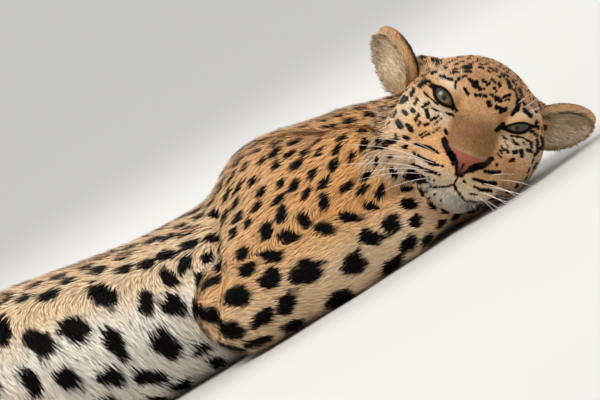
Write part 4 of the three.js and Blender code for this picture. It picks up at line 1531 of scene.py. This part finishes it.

# %% [markdown]
# Each tuft owns a small patch of the plane, so that its colour can be baked to pictures. The patches lie on
# a box unwrap of the skin: six views along the axes for the body and six larger ones for the head, side by
# side in the unit square.

# %% A place for each tuft on the unwrap
BODY_SHEETS = [  # axis looked along, sign, and the corner of the sheet in the unit square
    (2, 1, 0.01, 0.01),
    (2, -1, 0.01, 0.25),
    (1, -1, 0.01, 0.49),
    (1, 1, 0.01, 0.60),
    (0, 1, 0.01, 0.71),
    (0, -1, 0.27, 0.71),
]
HEAD_SHEETS = [
    (2, 1, 0.62, 0.01),
    (2, -1, 0.81, 0.01),
    (1, -1, 0.62, 0.22),
    (1, 1, 0.81, 0.22),
    (0, 1, 0.62, 0.43),
    (0, -1, 0.81, 0.43),
]
BODY_SPAN, HEAD_SPAN = 2300, 1300  # mm that the whole square is wide


def unwrap(p, n, head):
    """Where a place of the skin lies on the unwrap."""
    out = np.zeros((len(p), 2))
    axis = np.argmax(np.abs(n), axis=1)
    sign = np.sign(n[np.arange(len(n)), axis])
    for sheets, mine, low, scale in (
        (BODY_SHEETS, head < 0.5, [-910, -345, 0], 1 / BODY_SPAN),
        (HEAD_SHEETS, head >= 0.5, [225, -190, 0], 1 / HEAD_SPAN),
    ):
        for a, s, x, y in sheets:
            here = mine & (axis == a) & (sign == s)
            rest = [i for i in range(3) if i != a]
            out[here] = (p[here][:, rest] - np.array(low)[rest]) * scale + [x, y]
    return out


uv_root = unwrap(root, up, np.maximum(head_root, ears > 0))
print("the unwrap spans", uv_root.min(0).round(2), "to", uv_root.max(0).round(2))


# %% [markdown]
# Arrays become a mesh fastest when they are handed over whole. All pieces of a still animal ride on its
# one body, the root.

# %% Meshes from arrays
def mesh_object(name, points, faces, material):
    """A mesh in metres from arrays in millimetres."""
    mesh = bpy.data.meshes.new(name)
    mesh.vertices.add(len(points))
    mesh.vertices.foreach_set("co", (points / 1000).astype(np.float32).ravel())
    mesh.loops.add(faces.size)
    mesh.loops.foreach_set("vertex_index", faces.astype(np.int32).ravel())
    mesh.polygons.add(len(faces))
    mesh.polygons.foreach_set("loop_start", np.arange(0, faces.size, 3, dtype=np.int32))
    mesh.update(calc_edges=True)
    mesh.shade_smooth()
    mesh.materials.append(material)
    made = bpy.data.objects.new(name, mesh)
    bpy.context.scene.collection.objects.link(made)
    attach(made, "root")
    return made


def set_colours(made, name, rgb):
    """Colours of the vertices, for a material to read by that name."""
    layer = made.data.attributes.new(name, "FLOAT_COLOR", "POINT")
    solid = np.hstack([rgb, np.ones((len(rgb), 1))])
    layer.data.foreach_set("color", solid.astype(np.float32).ravel())


# %% [markdown]
# Skin and tufts share one group of nodes for the coat's colour. It reads the markings that were worked
# out above, and adds the fine streaks of light and dark that single hairs give.

# %% The nodes of the coat
def coat_group():
    group = bpy.data.node_groups.new("coat colour", "ShaderNodeTree")
    for name, kind, where in (
        ("Scale", "NodeSocketFloat", "INPUT"),
        ("Streaks", "NodeSocketFloat", "INPUT"),
        ("Colour", "NodeSocketColor", "OUTPUT"),
        ("Roughness", "NodeSocketFloat", "OUTPUT"),
        ("Height", "NodeSocketFloat", "OUTPUT"),
    ):
        group.interface.new_socket(name=name, in_out=where, socket_type=kind)
    nodes, links = group.nodes, group.links
    start, end = nodes.new("NodeGroupInput"), nodes.new("NodeGroupOutput")
    marks = nodes.new("ShaderNodeAttribute")
    marks.attribute_name = "coat"
    coordinates = nodes.new("ShaderNodeTexCoord")
    noise = nodes.new("ShaderNodeTexNoise")
    noise.inputs["Detail"].default_value = 3
    links.new(coordinates.outputs["Object"], noise.inputs["Vector"])
    links.new(start.outputs["Scale"], noise.inputs["Scale"])
    centred = nodes.new("ShaderNodeMath")
    centred.operation = "SUBTRACT"
    centred.inputs[1].default_value = 0.5
    links.new(noise.outputs["Fac"], centred.inputs[0])
    strength = nodes.new("ShaderNodeMath")
    strength.operation = "MULTIPLY_ADD"
    strength.inputs[2].default_value = 1.0
    links.new(centred.outputs[0], strength.inputs[0])
    links.new(start.outputs["Streaks"], strength.inputs[1])
    shade = nodes.new("ShaderNodeVectorMath")
    shade.operation = "SCALE"
    links.new(marks.outputs["Color"], shade.inputs[0])
    links.new(strength.outputs[0], shade.inputs["Scale"])
    links.new(shade.outputs["Vector"], end.inputs["Colour"])
    rough = nodes.new("ShaderNodeMapRange")
    rough.inputs["To Min"].default_value = 0.5
    rough.inputs["To Max"].default_value = 0.75
    links.new(noise.outputs["Fac"], rough.inputs["Value"])
    links.new(rough.outputs["Result"], end.inputs["Roughness"])
    links.new(noise.outputs["Fac"], end.inputs["Height"])
    return group


COAT_GROUP = coat_group()
print("nodes of the coat:", len(COAT_GROUP.nodes))


# %% [markdown]
# Fur has hardly any shine. The skin under it has a fine bump in place of the hairs that are too small
# to model, and the tufts have none, because they have an edge and a normal of their own.

# %% The materials of skin and coat
def coat_material(name, scale, streaks, bump=0.0):
    material = bpy.data.materials.new(name)
    material.use_nodes = True
    nodes, links = material.node_tree.nodes, material.node_tree.links
    shader = nodes["Principled BSDF"]
    group = nodes.new("ShaderNodeGroup")
    group.node_tree = COAT_GROUP
    group.inputs["Scale"].default_value = scale
    group.inputs["Streaks"].default_value = streaks
    links.new(group.outputs["Colour"], shader.inputs["Base Color"])
    links.new(group.outputs["Roughness"], shader.inputs["Roughness"])
    shader.inputs["Specular IOR Level"].default_value = 0.08
    if bump:
        relief = nodes.new("ShaderNodeBump")
        relief.inputs["Strength"].default_value = bump
        relief.inputs["Distance"].default_value = 0.0006
        links.new(group.outputs["Height"], relief.inputs["Height"])
        links.new(relief.outputs["Normal"], shader.inputs["Normal"])
    return material


skin_material = coat_material("skin under the coat", 900, 0.5, 0.5)
tuft_material = coat_material("tufts of the coat", 500, 0.35)
print("materials:", skin_material.name, "and", tuft_material.name)

# %% [markdown]
# The skin is one mesh, so no seam shows where the solids are parted. It takes the place of all nodes of
# flesh. It is painted a little darker than the tufts over it, as painted shade that falls between the
# hairs.

# %% Build the skin
skin = mesh_object("skin", points, faces, skin_material)
# Painted shade: the skin under the tufts is painted 8% darker than the coat.
set_colours(skin, "coat", skin_colour * 0.92)
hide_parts(*[n for n in frame["nodes"] if not n.startswith("eye")])
print("skin:", len(skin.data.polygons), "triangles")

# %% [markdown]
# A tuft has five corners and three triangles. The tufts are joined into pieces from the tail to the
# nose, each well under two hundred thousand triangles.

# %% Build the coat
PIECE_TRIANGLES = 180000
PATCH = 0.003
clock = time.time()
patch = np.array([[-0.5, -0.5], [0.5, -0.5], [-0.5, 0], [0.5, 0], [0, 0.5]]) * PATCH
one = np.array([[0, 3, 1], [0, 2, 3], [2, 4, 3]])
order = np.argsort(root[:, 0])
pieces = math.ceil(len(root) * 3 / PIECE_TRIANGLES)
for number, mine in enumerate(np.array_split(order, pieces)):
    verts = blades[mine].reshape(-1, 3)
    tri = (one[None] + 5 * np.arange(len(mine))[:, None, None]).reshape(-1, 3)
    coat = mesh_object(f"coat_{number:02d}", verts, tri, tuft_material)
    set_colours(coat, "coat", np.repeat(tuft_colour[mine], 5, axis=0))
    layer = coat.data.uv_layers.new(name="OFBake")
    uv = (uv_root[mine][:, None] + patch)[:, one].reshape(-1, 2)
    layer.data.foreach_set("uv", uv.astype(np.float32).ravel())
    coat.data.normals_split_custom_set_from_vertices(np.repeat(tuft_normal[mine], 5, axis=0))
print("coat:", pieces, "pieces,", len(root) * 3, "triangles in", round(time.time() - clock, 1), "s")

# %% [markdown]
# A leopard's eye is olive with a round dark pupil, behind a clear wet surface. The eyeball is one sphere
# whose colour depends on the angle from where it looks. Its top is painted darker as painted shade of the
# upper lid, and the whole left iris is painted darker as painted shade.

# %% The eyeball
def eyeball(side, sign):
    rings, turns = 64, 96
    gaze = unit(np.array([0.975, 0.17, 0.03]) * [1, sign, 1]) @ HEAD_AXES
    across = unit(np.cross(gaze, [0, 0, 1]))
    high = np.cross(across, gaze)
    angle = np.linspace(0, math.pi, rings + 1)[:, None]
    turn = np.arange(turns) / turns * 2 * math.pi
    ring = np.cos(angle)[..., None] * gaze + np.sin(angle)[..., None] * (
        np.cos(turn)[:, None] * across + np.sin(turn)[:, None] * high
    )
    p = eye_centres[side] + ring.reshape(-1, 3) * (EYE_RADIUS - 0.05)
    at = np.arange(len(p)).reshape(rings + 1, turns)
    a, b = at[:-1].ravel(), np.roll(at[:-1], -1, 1).ravel()
    c, d = np.roll(at[1:], -1, 1).ravel(), at[1:].ravel()
    tri = np.concatenate([np.stack([a, c, b], 1), np.stack([a, d, c], 1)])
    degrees = np.degrees(np.repeat(angle[:, 0], turns))
    spoke = np.tile(turn, rings + 1)
    streak = 0.5 + 0.5 * np.sin(spoke * 23) * np.sin(spoke * 7 + 1)
    iris = paint(np.tile(srgb(90, 77, 46), (len(p), 1)), streak * 0.35, srgb(62, 52, 32))
    iris = paint(iris, ramp(degrees, 30, 14) * 0.5, srgb(126, 106, 60))
    # Painted shade: the iris darkens towards its top under the upper lid, and the left iris is darker as a
    # whole.
    height = (p - eye_centres[side]) @ TOP
    iris = iris * (1 - 0.65 * ramp(height, -2, 5))[:, None] * (1 if side == "right" else 0.6)
    colour = paint(iris, ramp(degrees, 11.5, 9.5), srgb(8, 7, 6))
    colour = paint(colour, ramp(degrees, 38, 46), srgb(30, 24, 18))
    return p, tri, colour


print("an eyeball:", len(eyeball("right", 1)[1]), "triangles")

# %% [markdown]
# The wet surface is a clear coat with a sharp shine over a dull iris.

# %% Eyes
eye_material = bpy.data.materials.new("wet eye")
eye_material.use_nodes = True
eye_nodes = eye_material.node_tree
eye_shader = eye_nodes.nodes["Principled BSDF"]
eye_marks = eye_nodes.nodes.new("ShaderNodeAttribute")
eye_marks.attribute_name = "iris"
eye_nodes.links.new(eye_marks.outputs["Color"], eye_shader.inputs["Base Color"])
eye_shader.inputs["Roughness"].default_value = 0.25
eye_shader.inputs["Specular IOR Level"].default_value = 0.1
eye_shader.inputs["Coat Weight"].default_value = 1.0
eye_shader.inputs["Coat IOR"].default_value = 1.36
eye_shader.inputs["Coat Roughness"].default_value = 0.03
for side, sign in SIDES.items():
    p, tri, colour = eyeball(side, sign)
    ball = mesh_object(f"eyeball_{side}", p, tri, eye_material)
    set_colours(ball, "iris", colour)
    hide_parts(f"eye_{side}")
print("eyes:", ", ".join(SIDES))

# %% [markdown]
# Whiskers are stiff white hairs that grow in the rows of spots and sweep out and back in a long curve.
# A few more stand over each eye. Each is a thin tube that tapers to its tip, and its root is found by
# going in from straight ahead until the skin is met.

# %% The shape of a whisker
def tube(line, radius, sides=5):
    """A tapering tube along a line of points."""
    along = unit(np.gradient(line, axis=0))
    side = unit(np.cross(along, [0.3, 0.2, 1.0]))
    top = np.cross(along, side)
    angle = np.arange(sides) / sides * 2 * math.pi
    taper = radius * np.sqrt(np.linspace(1, 0.04, len(line)))[:, None, None]
    circle = np.cos(angle)[:, None] * side[:, None] + np.sin(angle)[:, None] * top[:, None]
    ring = line[:, None] + taper * circle
    at = np.arange(len(line) * sides).reshape(-1, sides)
    a, b = at[:-1].ravel(), np.roll(at[:-1], -1, 1).ravel()
    c, d = np.roll(at[1:], -1, 1).ravel(), at[1:].ravel()
    caps = [[at[0, 0], at[0, k + 1], at[0, k]] for k in range(1, sides - 1)]
    caps += [[at[-1, 0], at[-1, k], at[-1, k + 1]] for k in range(1, sides - 1)]
    return ring.reshape(-1, 3), np.vstack([np.stack([a, b, c], 1), np.stack([a, c, d], 1), caps])


def on_skin(across, rise, side):
    """The place of the skin that is seen at a place of the face from ahead, in the head's axes."""
    forward = np.linspace(90, -30, 241)
    q = np.stack([forward, np.full(241, across), rise + FACE_LEAN * forward], 1)
    d = skin_distance(EYES_AT + (q * [1, side, 1]) @ HEAD_AXES)
    return q[np.argmax(d < 0)]


print("the root of a whisker:", on_skin(30, -55, 1).round(1))

# %% [markdown]
# The longest whiskers grow in the two middle rows. Those of the left side are shorter and lean up,
# because that cheek lies on the floor. The last three of the table stand over the eye.

# %% Whiskers
SHORTER = {1: 0.68, -1: 0.55}
WHISKER_FLOOR = 1.5
WHISKERS = [  # across, up, length, sweep out, sweep up
    (30, -55, 62, 0.75, 0.25), (40, -56, 84, 0.95, 0.18),
    (26, -65, 96, 0.85, 0.02), (34, -66, 118, 0.95, 0.05), (43, -66, 110, 1.05, 0.1),
    (28, -74, 104, 0.85, -0.12), (37, -75, 122, 0.95, -0.08), (22, -79, 76, 0.7, -0.25),
    (33, -80, 92, 0.85, -0.22), (45, -73, 72, 1.0, 0.0),
    (38, 20, 46, 0.5, 0.75), (44, 18, 38, 0.6, 0.7), (31, 22, 34, 0.35, 0.8),
]
verts, tris, total = [], [], 0
for sign in SIDES.values():
    for across, rise, long, out, high in WHISKERS:
        begin = on_skin(across, rise, sign)
        long = long * SHORTER[sign]
        jitter = rng.normal(size=3) * 0.05
        lean = 0.3 if sign < 0 and rise < 0 else 0.0
        way = unit(np.array([0.42, out, high + lean]) + jitter)
        bend = np.array([-0.6, 0.0, -0.45 + 0.3 * high])
        t = np.linspace(0, 1, 14)[:, None]
        line = begin + way * long * t + bend * long * t**2 * 0.62
        line = EYES_AT + (line * [1, sign, 1]) @ HEAD_AXES
        line[:, 2] = np.maximum(line[:, 2], WHISKER_FLOOR + 0.4 * t[:, 0])
        p, tri = tube(line, 0.28 if long > 45 else 0.22)
        verts.append(p)
        tris.append(tri + total)
        total += len(p)
whisker_material = bpy.data.materials.new("whisker")
whisker_material.use_nodes = True
whisker_shader = whisker_material.node_tree.nodes["Principled BSDF"]
whisker_shader.inputs["Base Color"].default_value = (0.86, 0.84, 0.78, 1)
whisker_shader.inputs["Roughness"].default_value = 0.35
whiskers = mesh_object("whiskers", np.vstack(verts), np.vstack(tris), whisker_material)
print("whiskers:", len(verts))

# %% [markdown]
# The animal lies on a wide pale floor under an even sky, so that its own colours and outline show. The
# floor is only a stage.

# %% The floor and the sky
FLOOR_HALF = 600.0
floor_mesh = bpy.data.meshes.new("floor")
floor_corners = [(x * FLOOR_HALF, y * FLOOR_HALF, 0) for x, y in ((-1, -1), (1, -1), (1, 1), (-1, 1))]
floor_mesh.from_pydata(floor_corners, [], [(0, 1, 2, 3)])
floor = bpy.data.objects.new("floor", floor_mesh)
bpy.context.scene.collection.objects.link(floor)
pale = bpy.data.materials.new("floor")
pale.use_nodes = True
pale_shader = pale.node_tree.nodes["Principled BSDF"]
pale_shader.inputs["Base Color"].default_value = (0.62, 0.61, 0.58, 1)
pale_shader.inputs["Roughness"].default_value = 0.9
floor_mesh.materials.append(pale)
world = bpy.data.worlds.new("sky")
bpy.context.scene.world = world
world.use_nodes = True
background = world.node_tree.nodes["Background"]
background.inputs["Color"].default_value = (0.83, 0.85, 0.88, 1)
background.inputs["Strength"].default_value = 0.66
print("floor:", 2 * FLOOR_HALF, "m wide")


# %% [markdown]
# Light comes down from high on the animal's right side, with a weaker lamp before the face and a broad
# one behind to edge the back. A soft sun gives the body its form.

# %% Lamps
def area_light(name, place, target, size, power, colour=(1, 1, 1)):
    light = bpy.data.lights.new(name, "AREA")
    light.energy = power
    light.size = size
    light.color = colour
    lamp = bpy.data.objects.new(name, light)
    bpy.context.scene.collection.objects.link(lamp)
    lamp.location = place
    lamp.visible_camera = False
    lamp.rotation_euler = (Vector(target) - Vector(place)).to_track_quat("-Z", "Y").to_euler()


area_light("key", (-0.5, -1.9, 2.8), (0.1, 0, 0.1), 1.5, 36, (1.0, 0.97, 0.92))
area_light("fill", (2.8, -2.6, 1.6), (0.2, 0, 0.1), 1.6, 18, (0.92, 0.96, 1.0))
area_light("rim", (-0.6, 3.4, 3.0), (0.1, 0, 0.1), 1.8, 70)
sun_data = bpy.data.lights.new("sun", "SUN")
sun_data.energy = 1.5
sun_data.angle = 0.5
sun_data.color = (1.0, 0.98, 0.94)
sun = bpy.data.objects.new("sun", sun_data)
bpy.context.scene.collection.objects.link(sun)
sun.rotation_euler = Vector((-1.3, -1.5, 2.6)).to_track_quat("Z", "Y").to_euler()
print("lamps:", len(bpy.data.lights))

# %% [markdown]
# The camera looks at the right side from six metres away through a long lens, a little above the floor.
# It is turned about its own line of sight, so that the body slopes up across the picture to the head.

# %% The camera
CAMERA_TARGET = Vector((0.1368, -0.085, 0.1085))
CAMERA_DISTANCE = 6.0
elevation, twist = math.radians(3.3), math.radians(-31.5)
camera_data = bpy.data.cameras.new("camera")
camera_data.sensor_width = 36
camera_data.lens = 360
camera = bpy.data.objects.new("camera", camera_data)
bpy.context.scene.collection.objects.link(camera)
back = Vector((0, -math.cos(elevation), math.sin(elevation)))
camera.location = CAMERA_TARGET + back * CAMERA_DISTANCE
level = back.to_track_quat("Z", "Y").to_matrix()
camera.rotation_euler = (level @ Matrix.Rotation(twist, 3, "Z")).to_euler()
bpy.context.scene.camera = camera
bpy.context.scene.view_settings.view_transform = "Standard"
print("camera at", [round(v, 2) for v in camera.location])
